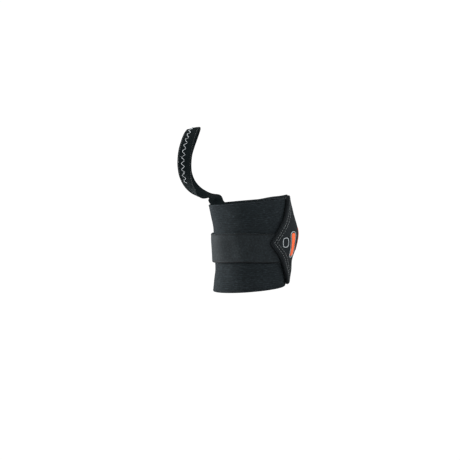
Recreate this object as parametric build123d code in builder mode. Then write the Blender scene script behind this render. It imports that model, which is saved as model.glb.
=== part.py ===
from build123d import *
import math
import os

# Elastic wrist wrap: a band wound about one and a half turns round the wrist,
# closed by a V shaped patch, a pull strap and a thumb loop.
# Lengths in millimetres, angles in degrees. Z runs from the forearm rim of
# the band (z = 0) toward the fingers, -Y is the back of the wrist, +Y the
# palm, -X the thumb side and +X the little-finger side.
# Wrap angles start at -Y and grow toward +X. Offsets are measured outward
# from the wrist surface.

os.makedirs("parts", exist_ok=True)

# ---------------------------------------------------------------- wrist
# height z, centre x, inner half width (x), inner half depth (y)
LEVELS = [
    (-4.0, -4.75, 29.35, 22.8),
    (8.0, -3.2, 29.2, 22.4),
    (20.0, -1.15, 29.05, 22.0),
    (32.0, 1.1, 30.7, 21.6),
    (44.0, 2.4, 31.6, 21.2),
    (56.0, 2.5, 31.2, 21.1),
    (68.0, 1.0, 31.1, 21.5),
    (82.0, -0.7, 31.3, 22.3),
]
OPENING_POWER = 2.3       # superellipse exponent of the opening
SECTION_HEIGHTS = [-4.0, 17.0, 38.0, 59.0, 82.0]    # loft sections of every strip
MID_Z = 38.0
STATION_STEP = 8.0        # wrap degrees between spline points

# ---------------------------------------------------------------- band
BAND_HEIGHT = 76.2
ELASTIC_THICKNESS = 1.6
BAND_START = 220.0        # start edge of the band, palm side toward the thumb
RAMP_START = -50.0        # the first turn lifts off the wrist from here ...
RAMP_END = -88.0          # ... to here, leaving room for the loop tails
TURN_LIFT = 2.2           # offset of the second turn
OUTER_BEND = 160.0        # bend between the fixed turn and the outer turn
PATCH_BEND = 125.0        # bend between the outer turn and the closing patch
OUTER_END = 91.0          # sewn end of the elastic under the patch
BAND_OVERRUN = 8.0        # wrap degrees a strip runs past its bend before the cut
CUT_GAP = 0.03            # half of the gap left at each soft bend
END_RISE = 1.5            # climb of the outer turn from the patch bend to its end

# ---------------------------------------------------------------- patch
PATCH_THICKNESS = 1.75
PATCH_LOW = 3.35          # offset of the patch toward the V tip
PATCH_HIGH = 3.85         # offset of the patch over the sewn elastic
PATCH_START = 121.0
PATCH_RISE = 1.6          # height gained by the band before the patch bend
TIP_ANGLE = 33.0
TIP_Z = 40.1
EDGE_RATE = 1.55          # wrap degrees per millimetre of V height
EDGE_BOW_UPPER = 0.0085   # how much the upper and the lower arm of the V
EDGE_BOW_LOWER = 0.0115   # curl toward the rims
PRINT_THICKNESS = 0.28
SURFACE_GAP = 0.03        # clearance under prints and threads

# ---------------------------------------------------------------- strap
STRAP_THICKNESS = 1.5
STRAP_LOW = 1.70
STRAP_Z0 = 25.9
STRAP_Z1 = 50.9
STRAP_REF_Z = 39.0
STRAP_ROOT = 64.0
STRAP_BENDS = (25.0, -30.0, -78.0, -124.0, -160.0)
STRAP_OVERRUNS = (7.0, 7.0, 7.0, 7.0, 6.0)
STRAP_END = -190.0
TAB_LIFT = 1.1
FRONT_SLOPE = -0.040      # height change per x of the first two lengths


# ---------------------------------------------------------------- geometry
def smooth(u):
    u = max(0.0, min(1.0, u))
    return u * u * (3.0 - 2.0 * u)


def opening(z):
    """Centre x, half width and half depth at height z, by cubic interpolation."""
    last = len(LEVELS) - 2
    row = 0
    while row < last and z > LEVELS[row + 1][0]:
        row += 1
    lower, upper = LEVELS[row], LEVELS[row + 1]
    span = upper[0] - lower[0]
    u = (z - lower[0]) / span
    values = []
    for column in (1, 2, 3):
        start, end = lower[column], upper[column]
        start_slope = end_slope = (end - start) / span
        if row > 0:
            before = LEVELS[row - 1]
            start_slope = (end - before[column]) / (upper[0] - before[0])
        if row < last:
            after = LEVELS[row + 2]
            end_slope = (after[column] - start) / (after[0] - lower[0])
        values.append(
            start * (2 * u**3 - 3 * u**2 + 1)
            + start_slope * span * (u**3 - 2 * u**2 + u)
            + end * (-2 * u**3 + 3 * u**2)
            + end_slope * span * (u**3 - u**2)
        )
    return values


def wrist(angle, z):
    """Point on the wrist surface."""
    centre_x, half_width, half_depth = opening(z)
    sine, cosine = math.sin(math.radians(angle)), math.cos(math.radians(angle))
    radius = (
        abs(sine / half_width) ** OPENING_POWER + abs(cosine / half_depth) ** OPENING_POWER
    ) ** (-1.0 / OPENING_POWER)
    return centre_x + radius * sine, -radius * cosine


def outward(angle, z):
    """Horizontal unit normal of the wrist surface."""
    x0, y0 = wrist(angle - 0.2, z)
    x1, y1 = wrist(angle + 0.2, z)
    length = math.hypot(x1 - x0, y1 - y0)
    return (y1 - y0) / length, -(x1 - x0) / length


def surface(angle, offset, z):
    x, y = wrist(angle, z)
    normal_x, normal_y = outward(angle, z)
    return x + normal_x * offset, y + normal_y * offset


def face_points(angles, face, z):
    """Points of a strip face, where face gives the offset at a wrap angle."""
    return [surface(angle, face(angle), z) for angle in angles]


def stations(first, last):
    """Angles from first to last with shared stations in between."""
    low, high = min(first, last), max(first, last)
    angles = [low]
    k = math.ceil(low / STATION_STEP + 0.30)
    while k * STATION_STEP < high - 2.4:
        angles.append(k * STATION_STEP)
        k += 1
    angles.append(high)
    return angles if first < last else angles[::-1]


# Offsets of the strip faces, as functions of the wrap angle
def constant(offset):
    return lambda angle: offset


def raised(face, height):
    return lambda angle: face(angle) + height


def band_face(angle):
    return TURN_LIFT * smooth((RAMP_START - angle) / (RAMP_START - RAMP_END))


def patch_face(angle):
    return PATCH_LOW + (PATCH_HIGH - PATCH_LOW) * smooth((angle - 80.0) / 11.0)


def strap_face(angle):
    lift = TURN_LIFT * smooth((RAMP_START + 4.0 - angle) / (RAMP_START - RAMP_END))
    tab = TAB_LIFT * smooth((-136.0 - angle) / 18.0)
    puff = 0.8 * math.exp(-(((angle + 84.0) / 20.0) ** 2))
    return STRAP_LOW + lift + tab + puff


strap_top = raised(strap_face, STRAP_THICKNESS)


# ---------------------------------------------------------------- cutting planes
# Each plane keeps the side its normal points to.
def between(low, high, slope=(0.0, 0.0), pivot=(0.0, 0.0)):
    """Lower and upper trimming planes, tilted by slope about the pivot (x, y)."""
    x, y = pivot
    return [
        Plane(origin=(x, y, low), z_dir=Vector(-slope[0], -slope[1], 1.0).normalized()),
        Plane(origin=(x, y, high), z_dir=Vector(slope[0], slope[1], -1.0).normalized()),
    ]


def bend_line(angle, offset, heights):
    """Vertical bend line outside the strip at every height: point, outward normal."""
    normal_x, normal_y = outward(angle, MID_Z)
    mid_x, mid_y = surface(angle, offset, MID_Z)
    reach = 0.0
    for z in heights:
        for turn in (-3.0, 0.0, 3.0):
            x, y = surface(angle + turn, offset, z)
            reach = max(reach, (x - mid_x) * normal_x + (y - mid_y) * normal_y)
    point = Vector(mid_x + normal_x * reach, mid_y + normal_y * reach, 0)
    return point, Vector(normal_x, normal_y, 0)


def wrap_direction(normal):
    """Horizontal direction in which the wrap angle grows."""
    return Vector(-normal.Y, normal.X, 0)


def bend_cut(bend, side):
    """Plane through a bend line; side +1 keeps larger wrap angles, -1 smaller."""
    point, normal = bend
    toward = wrap_direction(normal) * side
    return Plane(origin=point + toward * CUT_GAP, x_dir=normal, z_dir=toward)


BAND_BEND_HEIGHTS = [0.0, 15.0, 30.0, 45.0, 60.0, 76.0]
STRAP_BEND_HEIGHTS = [25.0, 32.0, 39.0, 46.0, 52.0]

outer_bend = bend_line(OUTER_BEND, TURN_LIFT + ELASTIC_THICKNESS, BAND_BEND_HEIGHTS)
patch_bend = bend_line(PATCH_BEND, TURN_LIFT + ELASTIC_THICKNESS, BAND_BEND_HEIGHTS)
strap_bends = [
    bend_line(angle, strap_top(angle), STRAP_BEND_HEIGHTS) for angle in STRAP_BENDS
]

# The outer turn climbs from the outer bend to the patch bend ...
palm_trim = between(
    0.0,
    BAND_HEIGHT,
    slope=(PATCH_RISE / (patch_bend[0].X - outer_bend[0].X), 0.0),
    pivot=(outer_bend[0].X, 0.0),
)


# ... and again from there to its end, together with the patch.
def end_trim(inset=0.0):
    """Rim planes of the end length and the patch, moved inward by inset."""
    pivot = (patch_bend[0].X, patch_bend[0].Y)
    end_x, end_y = surface(OUTER_END, TURN_LIFT, MID_Z)
    run_x, run_y = end_x - pivot[0], end_y - pivot[1]
    run = math.hypot(run_x, run_y)
    slope = (END_RISE * run_x / run**2, END_RISE * run_y / run**2)
    low = PATCH_RISE + inset
    high = BAND_HEIGHT + PATCH_RISE - inset
    return between(low, high, slope, pivot)


# ---------------------------------------------------------------- shared bodies
def strip(angles, inner, outer, planes=()):
    """Strip wrapped round the wrist between two faces, trimmed by planes."""
    with BuildPart() as body:
        for z in SECTION_HEIGHTS:
            inside = face_points(angles, inner, z)
            outside = face_points(angles, outer, z)
            with BuildSketch(Plane.XY.offset(z)):
                with BuildLine():
                    Spline(*inside)
                    Line(inside[-1], outside[-1])
                    Spline(*outside[::-1])
                    Line(outside[0], inside[0])
                make_face()
        loft()
        for plane in planes:
            split(bisect_by=plane, keep=Keep.TOP)
    return body.part


def upright_bar(outline):
    """Loft of a straight-sided outline given as (wrap angle, offset) corners."""
    with BuildPart() as bar:
        for z in SECTION_HEIGHTS:
            corners = [surface(angle, offset, z) for angle, offset in outline]
            with BuildSketch(Plane.XY.offset(z)):
                with BuildLine():
                    Polyline(*corners, close=True)
                make_face()
        loft()
    return bar.part


def trimmed(bodies, planes):
    with BuildPart() as piece:
        for body in bodies:
            add(body)
        for plane in planes:
            split(bisect_by=plane, keep=Keep.TOP)
    return piece.part


def thread_rows(centres, half_width, near, far, planes):
    """Upright rows of thread between the offsets near and far."""
    rows = []
    for centre in centres:
        left, right = centre - half_width, centre + half_width
        rows.append(upright_bar([(left, near), (right, near), (right, far), (left, far)]))
    return trimmed(rows, planes)


# ---------------------------------------------------------------- the band
INNER_TURN_STATIONS = 54   # after the start edge; they run past the outer bend
END_BLOCK_OUT = 3.0        # reach of the block that trims the over-running end:
END_BLOCK_IN = 2.9         # outward, inward
END_BLOCK_RUN = 9.0        # and along the wrap


def make_band_inner_turn():
    """One woven strip: the full turn on the wrist, then over its own start to
    the bend where the outer turn can be lifted."""
    angles = [BAND_START] + [
        BAND_START - STATION_STEP / 2 - STATION_STEP * k for k in range(INNER_TURN_STATIONS)
    ]
    body = strip(
        angles, band_face, raised(band_face, ELASTIC_THICKNESS), between(0.0, BAND_HEIGHT)
    )
    point, normal = outer_bend
    along = wrap_direction(normal)
    # Only the over-running end is trimmed, so the cut is a local block
    corners = [
        point + normal * END_BLOCK_OUT + along * CUT_GAP,
        point - normal * END_BLOCK_IN + along * CUT_GAP,
        point - normal * END_BLOCK_IN - along * END_BLOCK_RUN,
        point + normal * END_BLOCK_OUT - along * END_BLOCK_RUN,
    ]
    corners = [(corner.X, corner.Y) for corner in corners]
    with BuildPart() as turn:
        add(body)
        with BuildSketch(Plane.XY.offset(-5)):
            with BuildLine():
                Polyline(*corners, close=True)
            make_face()
        extrude(amount=90, mode=Mode.SUBTRACT)
    return turn.part


# Folded tape over the start edge: wrap degrees from the edge, offset
START_BINDING_OUTLINE = [
    (-5.4, -0.60), (-2.7, -0.60), (1.1, -0.60),
    (1.1, 2.08), (-2.7, 2.08), (-5.4, 2.08),
    (-5.4, 1.70), (-2.7, 1.70), (0.3, 1.70),
    (0.3, -0.12), (-2.7, -0.12), (-5.4, -0.12),
]
START_BINDING_MARGIN = 0.2
HEM_MARGIN = 1.5


def make_start_edge_binding():
    outline = [(BAND_START + turn, offset) for turn, offset in START_BINDING_OUTLINE]
    planes = between(START_BINDING_MARGIN, BAND_HEIGHT - START_BINDING_MARGIN)
    return trimmed([upright_bar(outline)], planes)


def make_start_hem_stitching():
    """Two rows of thread through the start binding, on the wrist side."""
    return thread_rows(
        centres=(BAND_START - 3.2, BAND_START - 1.6),
        half_width=0.45,
        near=-0.70,
        far=-0.98,
        planes=between(HEM_MARGIN, BAND_HEIGHT - HEM_MARGIN),
    )


def outer_turn(first, last, planes):
    return strip(
        stations(first, last),
        constant(TURN_LIFT),
        constant(TURN_LIFT + ELASTIC_THICKNESS),
        planes,
    )


def make_outer_turn_palm():
    planes = [bend_cut(outer_bend, -1), bend_cut(patch_bend, 1)] + palm_trim
    return outer_turn(OUTER_BEND + BAND_OVERRUN, PATCH_BEND - BAND_OVERRUN, planes)


def make_outer_turn_end():
    """Last length of the elastic; it stops under the closing patch."""
    planes = [bend_cut(patch_bend, -1)] + end_trim()
    return outer_turn(PATCH_BEND + BAND_OVERRUN, OUTER_END, planes)


# ---------------------------------------------------------------- V patch
# Outlines on the patch are drawn square to this direction, then cut through.
v_normal = Vector(0.78, -0.63, 0).normalized()
v_across = Vector(-v_normal.Y, v_normal.X, 0)
v_plane = Plane(origin=(0, 0, 0), x_dir=v_across, z_dir=v_normal)
V_CUT_DEPTH = 70.0
V_BOTTOM = -6.0            # heights where the arms of the V end, beyond the rims
V_TOP = 84.0
V_ARM_STEPS = 12
V_FAR = 60.0               # sketch x beyond the wide side of the patch
V_EDGE_OFFSET = PATCH_LOW + 1.0

BINDING_WIDTH = 1.3
THREAD_INSETS = (2.7, 4.7)  # outer and inner row along the V edge
THREAD_WIDTH = 0.55
V_LAYER_START = 96.0       # wrap angle where binding and threads begin


def on_v_plane(angle, offset, z):
    x, y = surface(angle, offset, z)
    return (x * v_across.X + y * v_across.Y, z)


def v_edge(inset, offset=V_EDGE_OFFSET):
    """Points up the lower arm of the V to the tip and on up the upper arm."""
    heights = [
        V_BOTTOM + (TIP_Z - V_BOTTOM) * k / V_ARM_STEPS for k in range(V_ARM_STEPS + 1)
    ]
    heights += [TIP_Z + (V_TOP - TIP_Z) * k / V_ARM_STEPS for k in range(1, V_ARM_STEPS + 1)]
    points = []
    for z in heights:
        rise = abs(z - TIP_Z)
        bow = EDGE_BOW_UPPER if z > TIP_Z else EDGE_BOW_LOWER
        angle = TIP_ANGLE + (rise + inset * 1.414) * EDGE_RATE - bow * rise * rise
        points.append(on_v_plane(angle, offset, z))
    return points


def cut_to_v(body, edge, inner_edge=None):
    """Keep what lies inside the V edge and, if given, outside the inner edge."""
    tip = V_ARM_STEPS
    with BuildPart() as layer:
        add(body)
        with BuildSketch(v_plane):
            with BuildLine():
                Spline(*edge[: tip + 1])
                Spline(*edge[tip:])
                if inner_edge:
                    Line(edge[-1], inner_edge[-1])
                    Spline(*inner_edge[tip:][::-1])
                    Spline(*inner_edge[: tip + 1][::-1])
                    Line(inner_edge[0], edge[0])
                else:
                    Polyline(edge[-1], (V_FAR, edge[-1][1]), (V_FAR, edge[0][1]), edge[0])
            make_face()
        extrude(amount=V_CUT_DEPTH, mode=Mode.INTERSECT)
    return layer.part


def make_closure_patch():
    angles = stations(PATCH_START, TIP_ANGLE - 6)
    body = strip(angles, patch_face, raised(patch_face, PATCH_THICKNESS), end_trim())
    return cut_to_v(body, v_edge(0.0))


def v_ring(inset, inner_inset, low, high):
    """Narrow V shaped layer between two insets, low and high above patch_face."""
    angles = stations(V_LAYER_START, TIP_ANGLE - 8)
    body = strip(angles, raised(patch_face, low), raised(patch_face, high), end_trim())
    return cut_to_v(body, v_edge(inset), v_edge(inner_inset))


def make_closure_patch_binding():
    """Cord edging sewn round the V."""
    return v_ring(-BINDING_WIDTH, -0.06, -0.05, PATCH_THICKNESS + 0.12)


def patch_stitch(inset):
    return v_ring(
        inset,
        inset + THREAD_WIDTH,
        PATCH_THICKNESS + SURFACE_GAP,
        PATCH_THICKNESS + PRINT_THICKNESS,
    )


def make_patch_seam_stitching():
    """Straight seam that joins patch and elastic."""
    patch_top = PATCH_HIGH + PATCH_THICKNESS
    return thread_rows(
        centres=(117.5, 114.0),
        half_width=0.5,
        near=patch_top + 0.06,
        far=patch_top + 0.33,
        planes=between(4.5, 76.0),
    )


HOOK_LOW = 1.70
HOOK_THICKNESS = 0.90
PANEL_INSET = 2.6
PANEL_START = 86.5


def under_panel(low, high):
    """Panel under the wide part of the V, set in from its edge and the rims."""
    body = strip(
        stations(PANEL_START, STRAP_ROOT + 3.0),
        constant(low),
        constant(high),
        end_trim(PANEL_INSET),
    )
    return cut_to_v(body, v_edge(PANEL_INSET, PATCH_LOW))


def make_patch_hook_panel():
    return under_panel(HOOK_LOW, HOOK_LOW + HOOK_THICKNESS)


def make_patch_backing_foam():
    return under_panel(HOOK_LOW + HOOK_THICKNESS + 0.05, PATCH_LOW - 0.12)


# Raised prints on the patch
def print_layer(first, last, centre, width, height, radius, hole_margin=0.0):
    """Rounded rectangle centred at (wrap angle, z) on the patch; hole_margin is
    how much smaller an open middle is than the outline."""
    body = strip(
        stations(first, last),
        raised(patch_face, PATCH_THICKNESS + SURFACE_GAP),
        raised(patch_face, PATCH_THICKNESS + PRINT_THICKNESS),
    )
    location = on_v_plane(centre[0], PATCH_LOW + PATCH_THICKNESS, centre[1])
    with BuildPart() as layer:
        add(body)
        with BuildSketch(v_plane):
            with Locations(location):
                RectangleRounded(width, height, radius)
                if hole_margin:
                    RectangleRounded(
                        width - hole_margin,
                        height - hole_margin,
                        radius - hole_margin / 2.2,
                        mode=Mode.SUBTRACT,
                    )
        extrude(amount=V_CUT_DEPTH, mode=Mode.INTERSECT)
    return layer.part


def make_emblem_bar():
    """Upright bar with rounded ends."""
    return print_layer(84.0, 54.0, centre=(69.0, 36.7), width=3.6, height=19.0, radius=1.6)


def make_emblem_frame():
    """Open rounded frame beside the bar."""
    return print_layer(
        72.0, 42.0, centre=(55.8, 39.4), width=5.0, height=7.6, radius=2.0, hole_margin=1.4
    )


def make_accent_stripe():
    """Thin stripe on the little-finger side."""
    return print_layer(98.0, 77.0, centre=(87.5, 40.0), width=1.7, height=20.0, radius=0.8)


# ---------------------------------------------------------------- strap
# Lengths between bends, from the root over the back of the wrist to the palm
STRAP_LENGTHS = ["strap_root", "strap_front", "strap_side", "strap_thumb_side", "strap_palm"]


def strap_length(index):
    """Length of strap that ends at bend number index."""
    if index == 0:
        first = STRAP_ROOT
        planes = []
    else:
        first = STRAP_BENDS[index - 1] + STRAP_OVERRUNS[index - 1]
        planes = [bend_cut(strap_bends[index - 1], -1)]
    last = STRAP_BENDS[index] - STRAP_OVERRUNS[index]
    planes.append(bend_cut(strap_bends[index], 1))
    slope = FRONT_SLOPE if index < 2 else 0.0
    pivot = (strap_bends[1][0].X, 0.0)
    planes += between(STRAP_Z0, STRAP_Z1, (slope, 0.0), pivot)
    return strip(stations(first, last), strap_face, strap_top, planes)


END_CORNER_RADIUS = 6.0


def make_strap_end():
    """End of the strap with rounded corners, the part the fingers pull."""
    body = strip(
        stations(STRAP_BENDS[-1] + STRAP_OVERRUNS[-1], STRAP_END),
        strap_face,
        strap_top,
        [bend_cut(strap_bends[-1], -1)],
    )
    end_x = surface(STRAP_END, 5.0, STRAP_REF_Z)[0]
    height = STRAP_Z1 - STRAP_Z0
    centre_z = (STRAP_Z0 + STRAP_Z1) / 2
    with BuildPart() as end:
        add(body)
        # The plain rectangle keeps the corners at the bend square
        with BuildSketch(Plane.XZ.offset(-10.0)):
            with Locations((end_x - 14.0, centre_z)):
                RectangleRounded(27.6, height, END_CORNER_RADIUS)
            with Locations((end_x - 24.0, centre_z)):
                Rectangle(20.0, height)
        extrude(amount=-60, mode=Mode.INTERSECT)
    return end.part


TAB_INSET = 2.2


def make_strap_hook_tab():
    """Hook tab sewn under the strap end."""
    return strip(
        stations(STRAP_BENDS[-1] - 3.0, STRAP_END + 5.0),
        constant(TURN_LIFT + ELASTIC_THICKNESS + 0.10),
        raised(strap_face, -0.05),
        between(STRAP_Z0 + TAB_INSET, STRAP_Z1 - TAB_INSET),
    )


def thread_frame(first, last, face, low_z, high_z, width_angle, width_z=0.6, height=0.27):
    """Rectangular run of thread lying on a face."""
    body = strip(
        stations(first, last),
        raised(face, SURFACE_GAP),
        raised(face, height),
        between(low_z, high_z),
    )
    angles = stations(first - width_angle, last + width_angle)
    inside = face_points(angles, raised(face, -2.0), STRAP_REF_Z)
    outside = face_points(angles, raised(face, 3.0), STRAP_REF_Z)
    with BuildPart() as run:
        add(body)
        with BuildSketch(Plane.XY.offset(low_z + width_z)):
            with BuildLine():
                Spline(*inside)
                Line(inside[-1], outside[-1])
                Spline(*outside[::-1])
                Line(outside[0], inside[0])
            make_face()
        extrude(amount=(high_z - low_z) - 2 * width_z, mode=Mode.SUBTRACT)
    return run.part


def make_strap_hook_stitching():
    return thread_frame(
        first=STRAP_BENDS[-1] - 4.5,
        last=STRAP_END + 6.5,
        face=strap_top,
        low_z=STRAP_Z0 + 3.4,
        high_z=STRAP_Z1 - 3.4,
        width_angle=1.1,
    )


def make_strap_anchor_stitching():
    """Box of thread that anchors the strap root under the V patch."""
    return thread_frame(
        first=61.0,
        last=57.8,
        face=constant(STRAP_LOW + STRAP_THICKNESS),
        low_z=STRAP_Z0 + 4.0,
        high_z=STRAP_Z1 - 6.0,
        width_angle=1.0,
        height=0.12,
    )


# ---------------------------------------------------------------- thumb loop
TAPE_WIDTH = 12.0
TAPE_THICKNESS = 1.2
LOOP_FOOT_Z = 80.6         # height of the folds between tails and loop
FOLD_LENGTH = 0.75         # length over which the tape thins to its fold
FOLD_THICKNESS = 0.16
FOLD_GAP = 0.05            # between the top of a tail and the loop
TAIL_OFFSET = 0.85
FRONT_TAIL = 261.6         # wrap angles of the two tails
PALM_TAIL = 239.9
TAIL_THICKNESS = 0.95
TAIL_HEIGHTS = (50.0, 58.0, 66.0, 73.5, 77.0)
SECTION_STEPS = 6          # steps across the tape


def loop_foot(angle, shift_x, shift_y):
    x, y = surface(angle, TAIL_OFFSET, 74.0)
    return Vector(x + shift_x, y + shift_y, LOOP_FOOT_Z)


front_foot = loop_foot(FRONT_TAIL, -0.35, -0.3)
palm_foot = loop_foot(PALM_TAIL, -0.25, 0.25)
foot_axis = (palm_foot - front_foot).normalized()
foot_inward = Vector(foot_axis.Y, -foot_axis.X, 0)

# Centre line of the loop: up the limb toward -Y, over the thumb, down the
# palm limb. Columns: point, direction of the skin side of the tape.
LOOP_PATH = [
    (front_foot, foot_inward),
    (Vector(-32.6, 4.7, 82.0), Vector(0.55, -0.20, 0.80)),
    (Vector(-35.0, 4.7, 82.9), Vector(0.15, 0.0, 0.99)),
    (Vector(-38.5, 3.2, 83.0), Vector(0.14, 0.0, 0.98)),
    (Vector(-42.2, 0.7, 84.0), Vector(0.45, 0.05, 0.78)),
    (Vector(-45.7, -2.1, 87.4), Vector(0.68, 0.18, 0.58)),
    (Vector(-48.4, -4.8, 91.6), Vector(0.66, 0.55, 0.45)),
    (Vector(-50.6, -7.7, 96.8), Vector(0.55, 0.80, 0.25)),
    (Vector(-51.9, -10.2, 102.4), Vector(0.35, 0.93, 0.12)),
    (Vector(-52.3, -11.7, 108.5), Vector(0.15, 0.99, 0.05)),
    (Vector(-52.0, -12.6, 115.0), Vector(0.0, 1.0, 0.0)),
    (Vector(-50.5, -12.7, 123.2), Vector(0.0, 1.0, -0.1)),
    (Vector(-47.9, -11.3, 131.0), Vector(0.1, 0.93, -0.35)),
    (Vector(-45.2, -8.0, 137.5), Vector(0.1, 0.72, -0.7)),
    (Vector(-43.0, -3.8, 141.6), Vector(0.1, 0.35, -0.93)),
    (Vector(-42.0, 0.8, 142.9), Vector(0.1, -0.05, -1.0)),
    (Vector(-42.4, 5.2, 141.6), Vector(0.1, -0.45, -0.88)),
    (Vector(-44.6, 9.3, 137.6), Vector(0.15, -0.80, -0.55)),
    (Vector(-48.0, 12.3, 131.0), Vector(0.15, -0.96, -0.25)),
    (Vector(-51.5, 14.0, 122.5), Vector(0.12, -0.99, -0.08)),
    (Vector(-53.3, 14.6, 113.0), Vector(0.12, -0.99, 0.0)),
    (Vector(-53.3, 14.4, 104.5), Vector(0.20, -0.97, 0.05)),
    (Vector(-51.0, 14.3, 97.0), Vector(0.40, -0.90, 0.18)),
    (Vector(-47.0, 14.8, 91.2), Vector(0.50, -0.78, 0.38)),
    (Vector(-41.8, 15.8, 87.2), Vector(0.42, -0.60, 0.68)),
    (Vector(-36.0, 16.5, 84.6), Vector(0.28, -0.35, 0.90)),
    (Vector(-30.6, 16.6, 83.2), Vector(0.30, -0.16, 0.94)),
    (Vector(palm_foot.X - 1.0, palm_foot.Y + 0.5, 82.1), Vector(0.62, -0.33, 0.70)),
    (palm_foot, foot_inward),
]
ZIGZAG_FIRST = 7           # rows of LOOP_PATH that carry the zigzag thread
ZIGZAG_LAST = 16


def loop_frame(index):
    """Plane across the tape: local x across the width, z along the tape."""
    point, skin_side = LOOP_PATH[index]
    if index == 0:
        along = Vector(0, 0, 1)
    elif index == len(LOOP_PATH) - 1:
        along = Vector(0, 0, -1)
    else:
        along = (LOOP_PATH[index + 1][0] - LOOP_PATH[index - 1][0]).normalized()
    return Plane(origin=point, x_dir=along.cross(skin_side).normalized(), z_dir=along)


def curved_section(centre, half_width, low, high, z):
    """Outline of a tape that follows the wrist, in the plane at height z."""
    x0, y0 = surface(centre - 1.0, TAIL_OFFSET, 62.0)
    x1, y1 = surface(centre + 1.0, TAIL_OFFSET, 62.0)
    per_degree = math.hypot(x1 - x0, y1 - y0) / 2.0
    angles = [
        centre + half_width * (2.0 * k / SECTION_STEPS - 1.0) / per_degree
        for k in range(SECTION_STEPS + 1)
    ]
    points = face_points(angles, constant(low), z)
    points += face_points(angles[::-1], constant(high), z)
    return Face(Wire.make_polygon([Vector(x, y, z) for x, y in points], close=True))


def flat_section(foot, half_width, thickness, z):
    """Straight outline along the line between the two feet."""
    steps = range(SECTION_STEPS + 1)
    points = []
    for side, order in ((0.5, steps), (-0.5, steps[::-1])):
        for k in order:
            reach = half_width * (2.0 * k / SECTION_STEPS - 1.0)
            point = foot - foot_axis * reach + foot_inward * (thickness * side)
            points.append(Vector(point.X, point.Y, z))
    return Face(Wire.make_polygon(points, close=True))


def loop_tail(angle, foot):
    """Tail curved between wrist and band; it flattens above the rim and thins
    to the fold line where the loop bends."""
    half_width = TAPE_WIDTH / 2 - 0.1
    top = LOOP_FOOT_Z - FOLD_GAP
    sections = [
        curved_section(angle, half_width, 0.0, TAIL_THICKNESS, z) for z in TAIL_HEIGHTS
    ]
    sections.append(flat_section(foot, half_width, TAPE_THICKNESS, top - FOLD_LENGTH))
    sections.append(flat_section(foot, half_width, FOLD_THICKNESS, top))
    with BuildPart() as tape:
        loft(sections=sections, ruled=True)
    return tape.part


def above_fold(frame):
    """The frame of a foot, moved up to where the tape has its full thickness."""
    origin = frame.origin + Vector(0, 0, FOLD_LENGTH)
    return Plane(origin=origin, x_dir=frame.x_dir, z_dir=frame.z_dir)


def make_thumb_loop_tape():
    """Loop of tape, thinned to a fold line at both feet."""
    frames = [loop_frame(index) for index in range(len(LOOP_PATH))]
    full_frames = [above_fold(frames[0])] + frames[1:-1] + [above_fold(frames[-1])]
    sections = [(frames[0], FOLD_THICKNESS)]
    sections += [(frame, TAPE_THICKNESS) for frame in full_frames]
    sections += [(frames[-1], FOLD_THICKNESS)]
    with BuildPart() as tape:
        for frame, thickness in sections:
            with BuildSketch(frame):
                Rectangle(TAPE_WIDTH, thickness)
        loft(ruled=True)
    return tape.part


def make_loop_zigzag_stitching():
    """Run of elastic thread on the outer face, up the -Y limb and over the top."""
    with BuildPart() as thread:
        for index in range(ZIGZAG_FIRST, ZIGZAG_LAST + 1):
            with BuildSketch(loop_frame(index)):
                with Locations((1.2, TAPE_THICKNESS / 2 + 0.19)):
                    Rectangle(2.6, 0.3)
        loft(ruled=True)
    return thread.part


def make_loop_bar_tacks():
    """Bar tacks that hold the two tails to the band, on the wrist side."""
    with BuildPart() as tacks:
        for angle in (FRONT_TAIL, PALM_TAIL):
            for z in (54.0, 69.5):
                sections = [
                    curved_section(angle, 4.7, -0.36, -0.06, z + rise) for rise in (-0.8, 0.8)
                ]
                loft(sections=sections, ruled=True)
    return tacks.part


# ---------------------------------------------------------------- export
pieces = {
    "band_inner_turn": make_band_inner_turn(),
    "start_edge_binding": make_start_edge_binding(),
    "start_hem_stitching": make_start_hem_stitching(),
    "outer_turn_palm": make_outer_turn_palm(),
    "outer_turn_end": make_outer_turn_end(),
    "closure_patch": make_closure_patch(),
    "closure_patch_binding": make_closure_patch_binding(),
    "patch_stitch_outer": patch_stitch(THREAD_INSETS[0]),
    "patch_stitch_inner": patch_stitch(THREAD_INSETS[1]),
    "patch_seam_stitching": make_patch_seam_stitching(),
    "patch_hook_panel": make_patch_hook_panel(),
    "patch_backing_foam": make_patch_backing_foam(),
    "emblem_bar": make_emblem_bar(),
    "emblem_frame": make_emblem_frame(),
    "accent_stripe": make_accent_stripe(),
    "strap_end": make_strap_end(),
    "strap_hook_tab": make_strap_hook_tab(),
    "strap_hook_stitching": make_strap_hook_stitching(),
    "strap_anchor_stitching": make_strap_anchor_stitching(),
    "loop_tail_front": loop_tail(FRONT_TAIL, front_foot),
    "loop_tail_palm": loop_tail(PALM_TAIL, palm_foot),
    "thumb_loop_tape": make_thumb_loop_tape(),
    "loop_zigzag_stitching": make_loop_zigzag_stitching(),
    "loop_bar_tacks": make_loop_bar_tacks(),
}
for index, name in enumerate(STRAP_LENGTHS):
    pieces[name] = strap_length(index)

for name, part in pieces.items():
    part.label = name
    export_step(part, "parts/" + name + ".step")
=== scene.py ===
# A ribbed elastic wrist wrap: two turns of band closed by a V-ended patch, a brushed
# strap that carries on from the V round to the palm, and a loop of tape for the thumb.
# The wrap stands on z = 0 round the vertical Z axis. The back of the hand faces -Y,
# the palm +Y, the thumb side -X and the little-finger side +X.
# Lengths are millimetres unless noted. Angles round the wrap are degrees, 0 at -Y and
# 90 at +X. Offsets are measured outward from the inner face of the first turn.
import bmesh
import bpy
import math
import numpy as np
from mathutils import Matrix, Vector


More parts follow.
